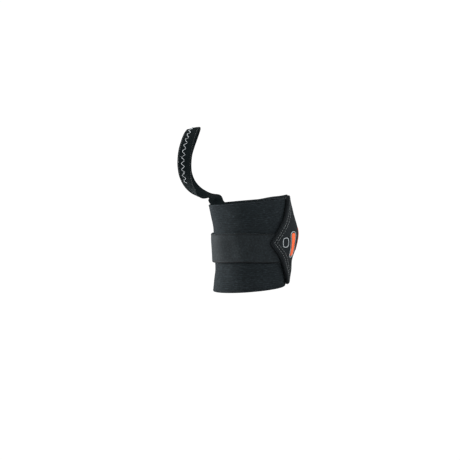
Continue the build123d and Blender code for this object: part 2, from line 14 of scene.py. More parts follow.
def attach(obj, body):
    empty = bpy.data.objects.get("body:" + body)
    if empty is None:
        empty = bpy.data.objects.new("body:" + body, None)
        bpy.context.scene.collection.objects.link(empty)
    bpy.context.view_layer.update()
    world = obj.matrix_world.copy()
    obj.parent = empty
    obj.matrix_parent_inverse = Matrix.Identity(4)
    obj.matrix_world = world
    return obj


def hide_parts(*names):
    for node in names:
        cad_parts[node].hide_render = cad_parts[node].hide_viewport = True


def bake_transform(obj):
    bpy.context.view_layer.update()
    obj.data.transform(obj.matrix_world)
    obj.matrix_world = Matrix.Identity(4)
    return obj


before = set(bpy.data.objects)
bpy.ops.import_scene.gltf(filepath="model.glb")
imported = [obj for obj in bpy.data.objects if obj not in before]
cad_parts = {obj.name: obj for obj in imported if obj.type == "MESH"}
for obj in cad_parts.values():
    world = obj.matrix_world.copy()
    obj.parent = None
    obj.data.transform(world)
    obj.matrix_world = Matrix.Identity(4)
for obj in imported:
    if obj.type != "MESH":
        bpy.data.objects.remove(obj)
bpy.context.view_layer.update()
MM = 0.001
UV_SCALE = 0.01              # UV units per millimetre of cloth

# ------------------------------------------------------------------ sizes
# Cross-sections of the wrap: height, centre x, half width in x, half depth in y
SECTIONS = np.array([
    (-4.0, -4.75, 29.35, 22.8), (8.0, -3.2, 29.2, 22.4), (20.0, -1.15, 29.05, 22.0),
    (32.0, 1.1, 30.7, 21.6), (44.0, 2.4, 31.6, 21.2), (56.0, 2.5, 31.2, 21.1),
    (68.0, 1.0, 31.1, 21.5), (82.0, -0.7, 31.3, 22.3)])
ROUNDNESS = 2.3              # superellipse power of every cross-section

BAND_H = 76.2
BAND_T = 1.6
BAND_START = 220.0           # angle of the inner end
RIB_PITCH = 1.63
TURN_STEP = 2.2              # how far the second turn lies outside the first
RISE_FIRST, RISE_LAST = 1.6, 1.5
FULL_RISE = RISE_FIRST + RISE_LAST

TIP_ANGLE, TIP_Z = 33.0, 40.1            # tip of the V
V_RATE = 1.55                            # degrees the V edge runs back per mm of height
BOW_UP, BOW_LOW = 0.0085, 0.0115         # bow of the edge above and below the tip
DIAGONAL = 1.414                         # inset across the slope to inset round the wrap
PATCH_T = 1.75
PATCH_HALF_H = 38.4
PATCH_ROOT = 121.0                       # angle of the seam on the outer turn
PATCH_MM_PER_DEG = 0.62
V_ROWS = (2.35, 4.50)                    # stitch rows, distance from the V edge
SEAM_ROWS = (3.2, 5.2)                   # stitch rows, distance from the seam edge
PRINT_OFFSET = PATCH_T + 0.26

STRAP_Z0, STRAP_Z1, STRAP_T = 25.9, 50.9, 1.5
STRAP_W = STRAP_Z1 - STRAP_Z0
STRAP_MID_Z = (STRAP_Z0 + STRAP_Z1) / 2

FRONT_TAIL, PALM_TAIL = 261.6, 239.9     # angles of the two thumb loop tails
LOOP_W, LOOP_T, LOOP_CUP = 12.0, 1.2, 0.55


# ------------------------------------------------------------------ shape of the wrap
def smooth_step(value):
    value = np.clip(value, 0.0, 1.0)
    return value * value * (3.0 - 2.0 * value)


def bell(value, centre, width):
    return np.exp(-((value - centre) / width) ** 2)


def round_off(distance, radius):
    """Quarter-round rise from 0 at an edge to 1 at the radius."""
    return np.sqrt(np.clip(1 - (1 - np.clip(distance / radius, 0, 1)) ** 2, 0, 1))


def hermite(start, start_slope, end, end_slope, t):
    return (start * (2 * t**3 - 3 * t**2 + 1) + start_slope * (t**3 - 2 * t**2 + t)
            + end * (-2 * t**3 + 3 * t**2) + end_slope * (t**3 - t**2))


def section_at(height):
    """Centre x, half width and half depth at a height."""
    levels = SECTIONS[:, 0]
    low = np.clip(np.searchsorted(levels, height, side="left") - 1, 0, len(levels) - 2)
    gap = levels[low + 1] - levels[low]
    t = (height - levels[low]) / gap
    found = []
    for values in SECTIONS.T[1:]:
        slope = np.empty(len(levels))
        slope[1:-1] = (values[2:] - values[:-2]) / (levels[2:] - levels[:-2])
        slope[0] = (values[1] - values[0]) / (levels[1] - levels[0])
        slope[-1] = (values[-1] - values[-2]) / (levels[-1] - levels[-2])
        found.append(hermite(values[low], slope[low] * gap,
                             values[low + 1], slope[low + 1] * gap, t))
    return found


def outline(angle, height):
    """x and y of the plain superellipse body."""
    centre, half_width, half_depth = section_at(height)
    turn = np.radians(angle)
    sine, cosine = np.sin(turn), np.cos(turn)
    radius = (np.abs(sine / half_width) ** ROUNDNESS
              + np.abs(cosine / half_depth) ** ROUNDNESS) ** (-1.0 / ROUNDNESS)
    return centre + radius * sine, -radius * cosine


# amplitude, waves per turn, radians per mm of height, phase
SWELLS = [(0.16, 3, 0.11, 0.7), (0.12, 5, -0.17, 2.1), (0.08, 9, 0.23, 4.0), (0.07, 2, 0.37, 0.0)]
# angle, height, slope in mm per degree, width, depth
CREASES = [
    (-38, 60, 0.16, 2.2, 0.22), (12, 64, -0.10, 2.6, 0.18), (-60, 14, -0.12, 2.4, 0.20),
    (30, 13, 0.13, 2.6, 0.2), (70, 66, -0.2, 2.4, 0.15), (-100, 30, 0.15, 2.4, 0.2),
    (150, 50, 0.14, 2.6, 0.22), (-150, 20, -0.12, 2.6, 0.22)]
CREASE_REACH = 30            # degrees


def give(angle, height):
    """Slow swells and creases of the soft band, shared by every layer."""
    angle = (angle + 180.0) % 360.0 - 180.0
    turn = np.radians(angle)
    swell = sum(size * np.sin(waves * turn + height * climb + phase)
                for size, waves, climb, phase in SWELLS)
    # the little-finger side stands a little proud at mid height
    swell = swell + 1.5 * bell(angle, 88, 26) * bell(height, 44, 13)
    for middle, level, slope, width, depth in CREASES:
        across = height - level - slope * (angle - middle)
        swell = swell - depth * bell(across, 0, width) * bell(angle, middle, CREASE_REACH)
    return swell


def surface(angle, offset, height):
    """Points at an outward offset from the wrap's inner face."""
    angle = np.asarray(angle, float)
    height = np.asarray(height, float)
    x_before, y_before = outline(angle - 0.25, height)
    x_after, y_after = outline(angle + 0.25, height)
    x, y = outline(angle, height)
    run = np.hypot(x_after - x_before, y_after - y_before)
    normal_x, normal_y = (y_after - y_before) / run, -(x_after - x_before) / run
    offset = offset + give(angle, height)
    return np.stack(np.broadcast_arrays(x + normal_x * offset, y + normal_y * offset, height), -1)


def unit(vectors):
    return vectors / np.linalg.norm(vectors, axis=-1, keepdims=True)


def outward(angle, height):
    return unit(surface(angle, 1.0, height) - surface(angle, 0.0, height))


def mm_per_degree(angle, offset, height):
    return np.linalg.norm(surface(angle + 2, offset, height)
                          - surface(angle - 2, offset, height)) / 4


def turn_offset(travel):
    """Step outward where the second turn climbs over the first; travel in degrees."""
    return TURN_STEP * smooth_step((travel - 270.0) / 38.0)


def patch_base(angle):
    """Offset of the patch's underside, which climbs onto the end of the outer turn."""
    return 3.35 + 0.5 * smooth_step((angle - 80.0) / 11.0)


def strap_base(angle):
    """Offset of the strap's underside from the V round to its end."""
    return (1.70 + 2.2 * smooth_step((-46.0 - angle) / 38.0)
            + 1.1 * smooth_step((-136.0 - angle) / 18.0) + 0.8 * bell(angle, -84, 20))


def outer_rise(angle):
    """Upward drift of the outer turn as it comes round to its end."""
    return (RISE_FIRST * smooth_step((160.0 - angle) / 38.0)
            + RISE_LAST * smooth_step((125.0 - angle) / 36.0))


def patch_height(angle, height):
    """Height on the patch, following the rise of the outer turn."""
    return height - (FULL_RISE - outer_rise(np.maximum(angle, 91.0)))


def v_edge_angle(height, inset=0.0, soft=1.0):
    """Angle of the V edge, moved inward by inset, its tip rounded by soft."""
    from_tip = height - TIP_Z
    bow = np.where(from_tip > 0, BOW_UP, BOW_LOW) * from_tip * from_tip
    back = np.sqrt(from_tip**2 + soft**2) - soft * 0.6 + inset * DIAGONAL
    return TIP_ANGLE + back * V_RATE - bow


# ------------------------------------------------------------------ mesh helpers
def cloth_uv(along, across):
    return np.stack(np.broadcast_arrays(along * UV_SCALE, across * UV_SCALE), -1)


def make_mesh(name, points, faces, uv=None):
    points = np.asarray(points, float).reshape(-1, 3) * MM
    mesh = bpy.data.meshes.new(name)
    mesh.from_pydata(points.tolist(), [], faces)
    mesh.validate()
    if uv is not None:
        layer = mesh.uv_layers.new(name="wrap")
        index = np.empty(len(mesh.loops), np.int32)
        mesh.loops.foreach_get("vertex_index", index)
        layer.data.foreach_set("uv", np.asarray(uv, float).reshape(-1, 2)[index].ravel())
    mesh.polygons.foreach_set("use_smooth", np.full(len(mesh.polygons), True))
    obj = bpy.data.objects.new(name, mesh)
    bpy.context.scene.collection.objects.link(obj)
    return obj


def grid_faces(rows, columns, start=0, flip=False, closed=False):
    """Quads over a grid of points; closed joins the last column to the first."""
    i = np.arange(rows - 1)[:, None]
    j = np.arange(columns if closed else columns - 1)[None, :]
    j_next = (j + 1) % columns
    here, beyond = start + i * columns, start + (i + 1) * columns
    quads = np.stack([here + j, beyond + j, beyond + j_next, here + j_next], -1).reshape(-1, 4)
    return quads[:, ::-1].tolist() if flip else quads.tolist()


def tube_faces(rings, sides):
    """Sides and both end caps of an open tube."""
    last = (rings - 1) * sides
    caps = [list(range(sides)), [last + k for k in range(sides)][::-1]]
    return grid_faces(rings, sides, closed=True) + caps


def shell(name, outer, inner, uv):
    """Closed solid between two grids of points (rows, columns, 3)."""
    rows, columns = outer.shape[:2]
    count = rows * columns
    faces = grid_faces(rows, columns) + grid_faces(rows, columns, count, flip=True)
    top = np.arange(count).reshape(rows, columns)
    under = top + count
    borders = ((top[:, 0], under[:, 0]), (under[:, -1], top[:, -1]),
               (under[0], top[0]), (top[-1], under[-1]))
    for a, b in borders:
        faces += np.stack([a[:-1], b[:-1], b[1:], a[1:]], -1).tolist()
    # turn every face round if the outer grid looks toward the inner one
    i, j = rows // 2, columns // 2
    across_rows = outer[i + 1, j] - outer[i - 1, j]
    across_columns = outer[i, j + 1] - outer[i, j - 1]
    if np.dot(np.cross(across_rows, across_columns), outer[i, j] - inner[i, j]) < 0:
        faces = [face[::-1] for face in faces]
    points = np.concatenate([outer.reshape(-1, 3), inner.reshape(-1, 3)])
    obj = make_mesh(name, points, faces, np.concatenate([uv.reshape(-1, 2)] * 2))
    # the cut ends stay flat so that one length shades straight into the next
    smooth = np.ones(len(obj.data.polygons), bool)
    smooth[-2 * (columns - 1):] = False
    obj.data.polygons.foreach_set("use_smooth", smooth)
    return obj


def edge_rows(length, step, radius):
    """Positions over a width, packed closely at both rounded edges."""
    edge = radius * (1 - np.cos(np.linspace(0, math.pi / 2, 6)))
    count = max(3, int(round((length - 2 * radius) / step)) + 1)
    middle = np.linspace(radius, length - radius, count)[1:-1]
    return np.concatenate([edge, middle, (length - edge)[::-1]])


def edge_fullness(distance, radius):
    """Share of the full thickness at a distance from a rounded edge."""
    return 0.30 + 0.70 * round_off(distance, radius)


def arc_length(points):
    steps = np.linalg.norm(np.diff(points, axis=0), axis=1)
    return np.concatenate([[0], np.cumsum(steps)])


def interpolate(where, length, columns):
    return np.stack([np.interp(where, length, column) for column in columns.T], -1)


def resample(path, step):
    """Even stations along a path of any number of columns, and their lengths."""
    length = arc_length(path)
    count = max(2, int(round(length[-1] / step)) + 1)
    stations = np.linspace(0, length[-1], count)
    return interpolate(stations, length, path), stations


def frame_points(path, side, normal, across, up):
    """Grid of points set off from a path along its side and normal directions."""
    return (path[:, None] + side[:, None] * across[..., None]
            + normal[:, None] * up[..., None])


def tube(path, radius, sides, facing):
    """Vertices and faces of a round cord; facing sets where its sides begin."""
    path = np.asarray(path, float)
    radius = np.broadcast_to(np.asarray(radius, float), (len(path),))[:, None]
    along = unit(np.gradient(path, axis=0))
    side = np.cross(along, facing)
    side /= np.linalg.norm(side, axis=1, keepdims=True) + 1e-12
    around = np.arange(sides)[None, :] * 2 * math.pi / sides
    points = frame_points(path, side, np.cross(side, along),
                          np.cos(around) * radius, np.sin(around) * radius)
    return points.reshape(-1, 3), tube_faces(len(path), sides)


def fix_normals(obj):
    mesh = bmesh.new()
    mesh.from_mesh(obj.data)
    bmesh.ops.recalc_face_normals(mesh, faces=mesh.faces)
    mesh.to_mesh(obj.data)
    mesh.free()
    return obj


def join_parts(name, parts):
    points, faces, count = [], [], 0
    for part_points, part_faces in parts:
        points.append(part_points)
        faces += [[i + count for i in face] for face in part_faces]
        count += len(part_points)
    return fix_normals(make_mesh(name, np.concatenate(points), faces))


def stitch_row(path, normals, seed, length, gap, radius, lift, sink=0.16, wiggle=0.0):
    """Separate machine stitches laid along a path, each dipping at its ends."""
    rng = np.random.default_rng(seed)
    both = np.concatenate([path, normals], 1)
    travel = arc_length(path)
    t = np.linspace(0, 1, 9)
    arch = np.sin(math.pi * t)
    parts = []
    start = gap * 0.5
    while start + length < travel[-1]:
        station = interpolate(np.linspace(start, start + length, 9), travel, both)
        points, normal = station[:, :3], unit(station[:, 3:])
        side = np.cross(normal, np.gradient(points, axis=0))
        side /= np.linalg.norm(side, axis=1, keepdims=True) + 1e-9
        height = -sink + (lift + sink) * arch ** 0.55
        sway = wiggle * (rng.random() - 0.5)
        cord = points + normal * height[:, None] + side * (sway * arch)[:, None]
        thickness = radius * (0.55 + 0.45 * arch ** 0.5) * (0.94 + 0.12 * rng.random())
        parts.append(tube(cord, thickness, sides=7, facing=normal))
        start += length + gap
    return parts


# ------------------------------------------------------------------ materials
class Graph:
    """Node graph of one material, coloured in shades of one tone."""

    def __init__(self, name, tone, cloth=False):
        self.material = bpy.data.materials.new(name)
        self.material.use_nodes = True
        self.tree = self.material.node_tree
        self.bsdf = self.tree.nodes["Principled BSDF"]
        self.tone = tone
        if cloth:
            self.read_cloth()

    def node(self, kind, **settings):
        made = self.tree.nodes.new(kind)
        for key, value in settings.items():
            setattr(made, key, value)
        return made

    def put(self, socket, value):
        """Link a socket, or set a number or an RGB colour."""
        if isinstance(value, bpy.types.NodeSocket):
            self.tree.links.new(value, socket)
        elif isinstance(value, tuple):
            socket.default_value = (*value, 1.0)
        else:
            socket.default_value = value

    def calc(self, operation, *values):
        made = self.node("ShaderNodeMath", operation=operation)
        for socket, value in zip(made.inputs, values):
            self.put(socket, value)
        return made.outputs[0]

    def ridges(self, value, period=1.0):
        """Rounded ridges with sharp valleys at every period."""
        wave = self.calc("SINE", self.calc("MULTIPLY", value, math.pi / period))
        return self.calc("ABSOLUTE", wave)

    def read_cloth(self):
        """Millimetres along and across the cloth, from its UV map."""
        uv_map = self.node("ShaderNodeUVMap", uv_map="wrap")
        split = self.node("ShaderNodeSeparateXYZ")
        self.put(split.inputs[0], uv_map.outputs[0])
        self.along = self.calc("MULTIPLY", split.outputs[0], 1 / UV_SCALE)
        self.across = self.calc("MULTIPLY", split.outputs[1], 1 / UV_SCALE)

    def position(self):
        """Object-space position in millimetres."""
        coords = self.node("ShaderNodeTexCoord")
        scaled = self.node("ShaderNodeVectorMath", operation="SCALE")
        self.put(scaled.inputs[0], coords.outputs["Object"])
        scaled.inputs[3].default_value = 1 / MM
        return scaled.outputs[0]

    def noise(self, vector, scale, detail, rough, warp=0.0):
        made = self.node("ShaderNodeTexNoise")
        self.put(made.inputs["Vector"], vector)
        made.inputs["Scale"].default_value = scale
        made.inputs["Detail"].default_value = detail
        made.inputs["Roughness"].default_value = rough
        made.inputs["Distortion"].default_value = warp
        return made.outputs["Fac"]

    def cloth_noise(self, stretch, layer, **settings):
        """Noise on the cloth; stretch multiplies along and across, None leaves one as it is."""
        combined = self.node("ShaderNodeCombineXYZ")
        for k, (value, factor) in enumerate(zip((self.along, self.across), stretch)):
            if factor is not None:
                value = self.calc("MULTIPLY", value, factor)
            self.put(combined.inputs[k], value)
        combined.inputs[2].default_value = layer
        return self.noise(combined.outputs[0], **settings)

    def cloud(self, stretch, layer):
        """Broad soft patches."""
        return self.cloth_noise(stretch, layer, scale=1.0, detail=3.0, rough=0.5)

    def cells(self, vector, scale):
        made = self.node("ShaderNodeTexVoronoi", feature="F1")
        self.put(made.inputs["Vector"], vector)
        made.inputs["Scale"].default_value = scale
        return made.outputs["Distance"]

    def bands(self, vector, direction, scale, warp):
        made = self.node("ShaderNodeTexWave", wave_type="BANDS", bands_direction=direction)
        self.put(made.inputs["Vector"], vector)
        made.inputs["Scale"].default_value = scale
        made.inputs["Distortion"].default_value = warp
        return made.outputs["Fac"]

    def shade(self, factor):
        return tuple(channel * factor for channel in self.tone)

    def shades(self, value, stops):
        """Colour ramp; each stop is a position and a multiple of the tone."""
        made = self.node("ShaderNodeValToRGB")
        self.put(made.inputs[0], value)
        elements = made.color_ramp.elements
        while len(elements) < len(stops):
            elements.new(0.5)
        for element, (position, factor) in zip(elements, stops):
            element.position = position
            element.color = (*self.shade(factor), 1.0)
        return made.outputs[0]

    def mix(self, amount, first, second):
        made = self.node("ShaderNodeMix", data_type="RGBA", blend_type="MIX")
        self.put(made.inputs[0], amount)
        self.put(made.inputs[6], first)      # 6, 7 and output 2 are the colour sockets
        self.put(made.inputs[7], second)
        return made.outputs[2]

    def remap(self, value, over, to):
        made = self.node("ShaderNodeMapRange")
        self.put(made.inputs[0], value)
        for k, limit in enumerate((*over, *to), 1):
            made.inputs[k].default_value = limit
        return made.outputs[0]

    def tint(self, color, mask, over, amount, shade, strength=None):
        """Mix toward a shade of the tone by amount, as the mask runs over a range."""
        share = self.remap(mask, over, amount)
        if strength is not None:
            share = self.calc("MULTIPLY", share, strength)
        return self.mix(share, color, self.shade(shade))

    def bump(self, height, strength, depth, under=None):
        """Bump with depth in mm, over an earlier bump if given."""
        made = self.node("ShaderNodeBump")
        made.inputs["Strength"].default_value = strength
        made.inputs["Distance"].default_value = depth * MM
        self.put(made.inputs["Height"], height)
        if under is not None:
            self.put(made.inputs["Normal"], under)
        return made.outputs[0]

    def finish(self, color, rough, normal=None, sheen=0.0, sheen_rough=0.5,
               sheen_tint=(1, 1, 1), spec=0.3):
        sockets = self.bsdf.inputs
        self.put(sockets["Base Color"], color)
        self.put(sockets["Roughness"], rough)
        if normal is not None:
            self.put(sockets["Normal"], normal)
        self.put(sockets["Sheen Weight"], sheen)
        self.put(sockets["Sheen Roughness"], sheen_rough)
        self.put(sockets["Sheen Tint"], sheen_tint)
        self.put(sockets["Specular IOR Level"], spec)
        return self.material


def elastic_material(name, tone):
    """Ribbed woven elastic: covered rubber ends under fine crossing yarn."""
    stitch_length = 0.92
    slant_along, slant_across = 0.46, 0.7
    pale_fibre_and_crest_light = 0.5                        # strength of the pale fibres and of the painted highlight on the yarn crests
    hash_step, hash_size = 12.9898, 43758.5   # scramble a row number into 0 to 1
    g = Graph(name, tone, cloth=True)
    row = g.calc("FLOOR", g.calc("DIVIDE", g.across, RIB_PITCH))
    scrambled = g.calc("SINE", g.calc("MULTIPLY", row, hash_step))
    jitter = g.calc("FRACT", g.calc("MULTIPLY", scrambled, hash_size))
    # small stitches of covering yarn along each rib, staggered by half row by row
    yarn = g.ridges(g.calc("ADD", g.calc("DIVIDE", g.along, stitch_length),
                           g.calc("MULTIPLY", row, 0.5)))
    rib = g.ridges(g.calc("DIVIDE", g.across, RIB_PITCH))
    slant = g.ridges(g.calc("ADD", g.calc("DIVIDE", g.along, slant_along),
                            g.calc("DIVIDE", g.across, slant_across)))
    streak = g.cloth_noise((0.05, 1.3), layer=0.0, scale=1.0, detail=4.0, rough=0.65)
    cloud = g.cloud((0.05, 0.06), layer=3.0)
    fuzz = g.cloth_noise((None, 1.6), layer=7.0, scale=2.6, detail=3.0, rough=0.7)
    fleck = g.cloth_noise((0.34, 1.35), layer=13.0, scale=1.0, detail=2.0, rough=0.6)
    color = g.shades(streak, [(0.28, 0.70), (0.55, 1.0), (0.80, 1.55)])
    color = g.tint(color, cloud, over=(0.3, 0.7), amount=(0.0, 0.45), shade=1.35)
    # painted shade: darker in the valleys between the ribs
    color = g.tint(color, rib, over=(0.0, 0.75), amount=(0.72, 0.0), shade=0.30)
    # painted highlight: lighter on the crests of the yarn stitches
    color = g.tint(color, yarn, over=(0.35, 1.0), amount=(0.0, 0.30), shade=2.1,
                   strength=pale_fibre_and_crest_light)
    color = g.tint(color, fuzz, over=(0.57, 0.72), amount=(0.0, 1.0), shade=3.6,
                   strength=pale_fibre_and_crest_light)
    color = g.tint(color, fleck, over=(0.55, 0.70), amount=(0.0, 0.70), shade=3.0)
    color = g.tint(color, fleck, over=(0.46, 0.30), amount=(0.0, 0.65), shade=0.28)
    # some ribs darker than others
    color = g.mix(g.calc("MULTIPLY", jitter, 0.22), color, g.shade(0.55))
    weave = g.calc("ADD", g.calc("MULTIPLY", yarn, 0.5), g.calc("MULTIPLY", slant, 0.25))
    normal = g.bump(fuzz, strength=0.35, depth=0.25)
    normal = g.bump(weave, strength=0.75, depth=0.22, under=normal)
    rough = g.remap(streak, over=(0.2, 0.8), to=(0.92, 0.74))
    return g.finish(color, rough, normal, sheen=0.012, sheen_rough=0.45,
                    sheen_tint=(0.70, 0.85, 0.95), spec=0.07)


def brushed_material(name, tone):
    """Brushed loop face of the strap: fine napped pile with a soft sheen."""
    g = Graph(name, tone, cloth=True)
    pile = g.cloth_noise((1.0, 2.4), layer=1.0, scale=2.2, detail=4.0, rough=0.7, warp=0.6)
    hair = g.cloth_noise((0.6, 5.0), layer=4.0, scale=1.3, detail=3.0, rough=0.6)
    cloud = g.cloud((0.10, 0.14), layer=9.0)
    nap = g.cloth_noise((0.85, 0.95), layer=17.0, scale=0.9, detail=2.0, rough=0.6)
    ribs = g.ridges(g.across, period=1.1)
    color = g.shades(pile, [(0.25, 0.62), (0.52, 1.0), (0.78, 1.5)])
    color = g.tint(color, cloud, over=(0.32, 0.68), amount=(0.0, 0.5), shade=1.30)
    color = g.tint(color, hair, over=(0.55, 0.75), amount=(0.0, 0.35), shade=1.9)
    color = g.tint(color, nap, over=(0.52, 0.70), amount=(0.0, 0.80), shade=2.1)
    color = g.tint(color, nap, over=(0.48, 0.30), amount=(0.0, 0.65), shade=0.32)
    # painted shade: darker in the valleys between the strap's ribs
    color = g.tint(color, ribs, over=(0.0, 0.4), amount=(0.30, 0.0), shade=0.55)
    # painted shade: dark lower and upper edges stand in for the shadow lines along the strap's
    # edges
    color = g.tint(color, g.across, over=(1.7, 0.5), amount=(0.0, 0.85), shade=0.12)
    color = g.tint(color, g.across, over=(STRAP_W - 1.2, STRAP_W - 0.3),
                   amount=(0.0, 0.80), shade=0.15)
    normal = g.bump(ribs, strength=0.30, depth=0.12)
    normal = g.bump(pile, strength=0.65, depth=0.30, under=normal)
    normal = g.bump(hair, strength=0.30, depth=0.15, under=normal)
    rough = g.remap(pile, over=(0.2, 0.8), to=(0.80, 0.58))
    return g.finish(color, rough, normal, sheen=0.150, sheen_rough=0.24,
                    sheen_tint=(0.75, 0.88, 0.96), spec=0.10)


def jersey_material(name, tone):
    """Knitted face laminated over foam: columns of small knit stitches."""
    column, stitch, lean = 0.62, 0.78, 0.5
    g = Graph(name, tone, cloth=True)
    columns = g.ridges(g.along, period=column)
    fold = g.calc("PINGPONG", g.calc("DIVIDE", g.along, column / 2), 1.0)
    stitches = g.ridges(g.calc("ADD", g.calc("DIVIDE", g.across, stitch),
                               g.calc("MULTIPLY", fold, lean)))
    knit = g.calc("MULTIPLY", columns, stitches)
    cloud = g.cloud((0.09, 0.09), layer=2.0)
    lint = g.cloth_noise((None, None), layer=5.0, scale=1.7, detail=4.0, rough=0.72)
    color = g.shades(knit, [(0.05, 0.45), (0.45, 1.0), (0.95, 1.45)])
    color = g.tint(color, cloud, over=(0.3, 0.7), amount=(0.0, 0.4), shade=1.4)
    color = g.tint(color, lint, over=(0.62, 0.76), amount=(0.0, 0.35), shade=2.4)
    normal = g.bump(knit, strength=0.6, depth=0.18)
    normal = g.bump(lint, strength=0.3, depth=0.25, under=normal)
    rough = g.remap(lint, over=(0.2, 0.8), to=(0.86, 0.66))
    return g.finish(color, rough, normal, sheen=0.015, sheen_rough=0.4,
                    sheen_tint=(0.80, 0.9, 0.97), spec=0.10)


def tape_material(name, tone, pitch):
    """Narrow woven tape, herringbone twill."""
    fold_start, fold_width, lean = 12.0, 2.0, 0.9
    g = Graph(name, tone, cloth=True)
    fold = g.calc("PINGPONG", g.calc("ADD", g.across, fold_start), fold_width)
    twill = g.ridges(g.calc("ADD", g.calc("DIVIDE", g.along, pitch),
                            g.calc("MULTIPLY", fold, lean)))
    filaments = g.ridges(g.across, period=0.36)
    cloud = g.cloud((0.12, 0.2), layer=2.0)
    lint = g.cloth_noise((None, None), layer=5.0, scale=2.1, detail=4.0, rough=0.7)
    color = g.shades(twill, [(0.1, 0.45), (0.5, 1.0), (0.95, 1.6)])
    color = g.tint(color, cloud, over=(0.3, 0.7), amount=(0.0, 0.45), shade=1.7)
    color = g.tint(color, lint, over=(0.6, 0.78), amount=(0.0, 0.2), shade=2.2)
    normal = g.bump(filaments, strength=0.3, depth=0.08)
    normal = g.bump(twill, strength=0.7, depth=0.2, under=normal)
    normal = g.bump(lint, strength=0.25, depth=0.2, under=normal)
    rough = g.remap(lint, over=(0.2, 0.8), to=(0.85, 0.6))
    return g.finish(color, rough, normal, sheen=0.005, sheen_rough=0.4,
                    sheen_tint=(0.7, 0.92, 1.0), spec=0.05)


def thread_material(name, tone, rough=0.62):
    """Twisted sewing thread."""
    g = Graph(name, tone)
    position = g.position()
    twist = g.bands(position, "DIAGONAL", scale=1.1, warp=0.6)
    fuzz = g.noise(position, scale=3.0, detail=3.0, rough=0.6)
    color = g.shades(twist, [(0.1, 0.72), (0.6, 1.0), (1.0, 1.15)])
    color = g.tint(color, fuzz, over=(0.3, 0.7), amount=(0.0, 0.35), shade=0.6)
    normal = g.bump(twist, strength=0.5, depth=0.08)
    normal = g.bump(fuzz, strength=0.3, depth=0.06, under=normal)
    roughness = g.remap(fuzz, over=(0.2, 0.8), to=(rough + 0.1, rough - 0.08))
    return g.finish(color, roughness, normal, sheen=0.25, spec=0.35)


def print_material(name, tone, edge):
    """Raised rubbery print: faint weave telling through, lighter at its raised edges."""
    g = Graph(name, tone)
    position = g.position()
    geometry = g.node("ShaderNodeNewGeometry")
    wear = g.noise(position, scale=0.9, detail=5.0, rough=0.65)
    fine = g.noise(position, scale=4.0, detail=3.0, rough=0.6)
    weave = g.bands(position, "Z", scale=0.42, warp=1.2)
    color = g.shades(wear, [(0.25, 0.86), (0.55, 1.0), (0.8, 1.12)])
    # lighter toward the raised edges, found by pointiness
    edge_lightening = g.remap(geometry.outputs["Pointiness"], over=(0.50, 0.60), to=(0.0, 0.55))
    color = g.mix(edge_lightening, color, edge)
    color = g.tint(color, fine, over=(0.62, 0.76), amount=(0.0, 0.20), shade=0.55)
    normal = g.bump(weave, strength=0.18, depth=0.10)
    normal = g.bump(fine, strength=0.22, depth=0.08, under=normal)
    rough = g.remap(wear, over=(0.2, 0.8), to=(0.42, 0.62))
    return g.finish(color, rough, normal, spec=0.45)


def hook_material(name, tone):
    """Shiny hook tape."""
    g = Graph(name, tone)
    position = g.position()
    cells = g.cells(position, scale=1.1)
    fuzz = g.noise(position, scale=2.2, detail=3.0, rough=0.6)
    color = g.shades(cells, [(0.0, 1.8), (0.35, 1.0), (0.9, 0.5)])
    color = g.tint(color, fuzz, over=(0.4, 0.7), amount=(0.0, 0.3), shade=1.5)
    normal = g.bump(cells, strength=0.4, depth=0.25)
    rough = g.remap(fuzz, over=(0.3, 0.7), to=(0.5, 0.32))
    return g.finish(color, rough, normal, spec=0.5)


def foam_material(name, tone):
    """Matt open-cell foam."""
    g = Graph(name, tone)
    position = g.position()
    cells = g.cells(position, scale=1.6)
    blotch = g.noise(position, scale=0.8, detail=4.0, rough=0.6)
    color = g.shades(cells, [(0.0, 0.5), (0.4, 1.0), (1.0, 1.5)])
    color = g.tint(color, blotch, over=(0.4, 0.7), amount=(0.0, 0.4), shade=1.4)
    normal = g.bump(cells, strength=0.6, depth=0.3)
    return g.finish(color, rough=0.92, normal=normal, spec=0.15)


BAND = elastic_material("ribbed_elastic_look", tone=(0.0074, 0.0101, 0.0117))
STRAP = brushed_material("brushed_strap_look", tone=(0.0073, 0.0100, 0.0116))
PATCH = jersey_material("patch_face_look", tone=(0.0072, 0.0094, 0.0108))
PATCH_EDGE = tape_material("patch_edge_look", tone=(0.0040, 0.0050, 0.0058), pitch=0.7)
LOOP_TAPE = tape_material("loop_tape_look", tone=(0.0024, 0.0044, 0.0050), pitch=0.85)
BINDING = tape_material("binding_look", tone=(0.0080, 0.0100, 0.0110), pitch=0.7)
GREY_THREAD = thread_material("grey_thread_look", tone=(0.085, 0.095, 0.100))
DARK_THREAD = thread_material("dark_thread_look", tone=(0.016, 0.019, 0.021))
WHITE_THREAD = thread_material("white_thread_look", tone=(0.40, 0.43, 0.45), rough=0.55)
ORANGE = print_material("orange_print_look", tone=(0.74, 0.105, 0.026), edge=(0.82, 0.16, 0.05))
RED = print_material("red_print_look", tone=(0.40, 0.050, 0.018), edge=(0.46, 0.07, 0.03))
PALE_GREY = print_material("grey_print_look", tone=(0.30, 0.325, 0.34), edge=(0.42, 0.45, 0.47))
HOOKS = hook_material("hook_tape_look", tone=(0.022, 0.024, 0.026))
FOAM = foam_material("foam_look", tone=(0.030, 0.031, 0.032))


def label(nodes):
    if nodes:
        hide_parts(*nodes)


def dress(obj, material, body, slot, *nodes):
    """Give an object its material and let it ride on one body."""
    obj.data.materials.append(material)
    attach(obj, body)
    label(nodes)


def dress_blend(obj, material, bodies, start, end, slot, *nodes):
    """Give an object its material and bake its placement into its mesh."""
    obj.data.materials.append(material)
    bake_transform(obj)
    label(nodes)


# ------------------------------------------------------------------ the band
def span(start, end, step):
    """Even stations, with one more close to each cut so shading runs across."""
    even = np.linspace(start, end, max(4, int(round(abs(end - start) / step)) + 1))
    nudge = 0.05 * np.sign(end - start)
    return np.concatenate([[start, start + nudge], even[1:-1], [end - nudge, end]])


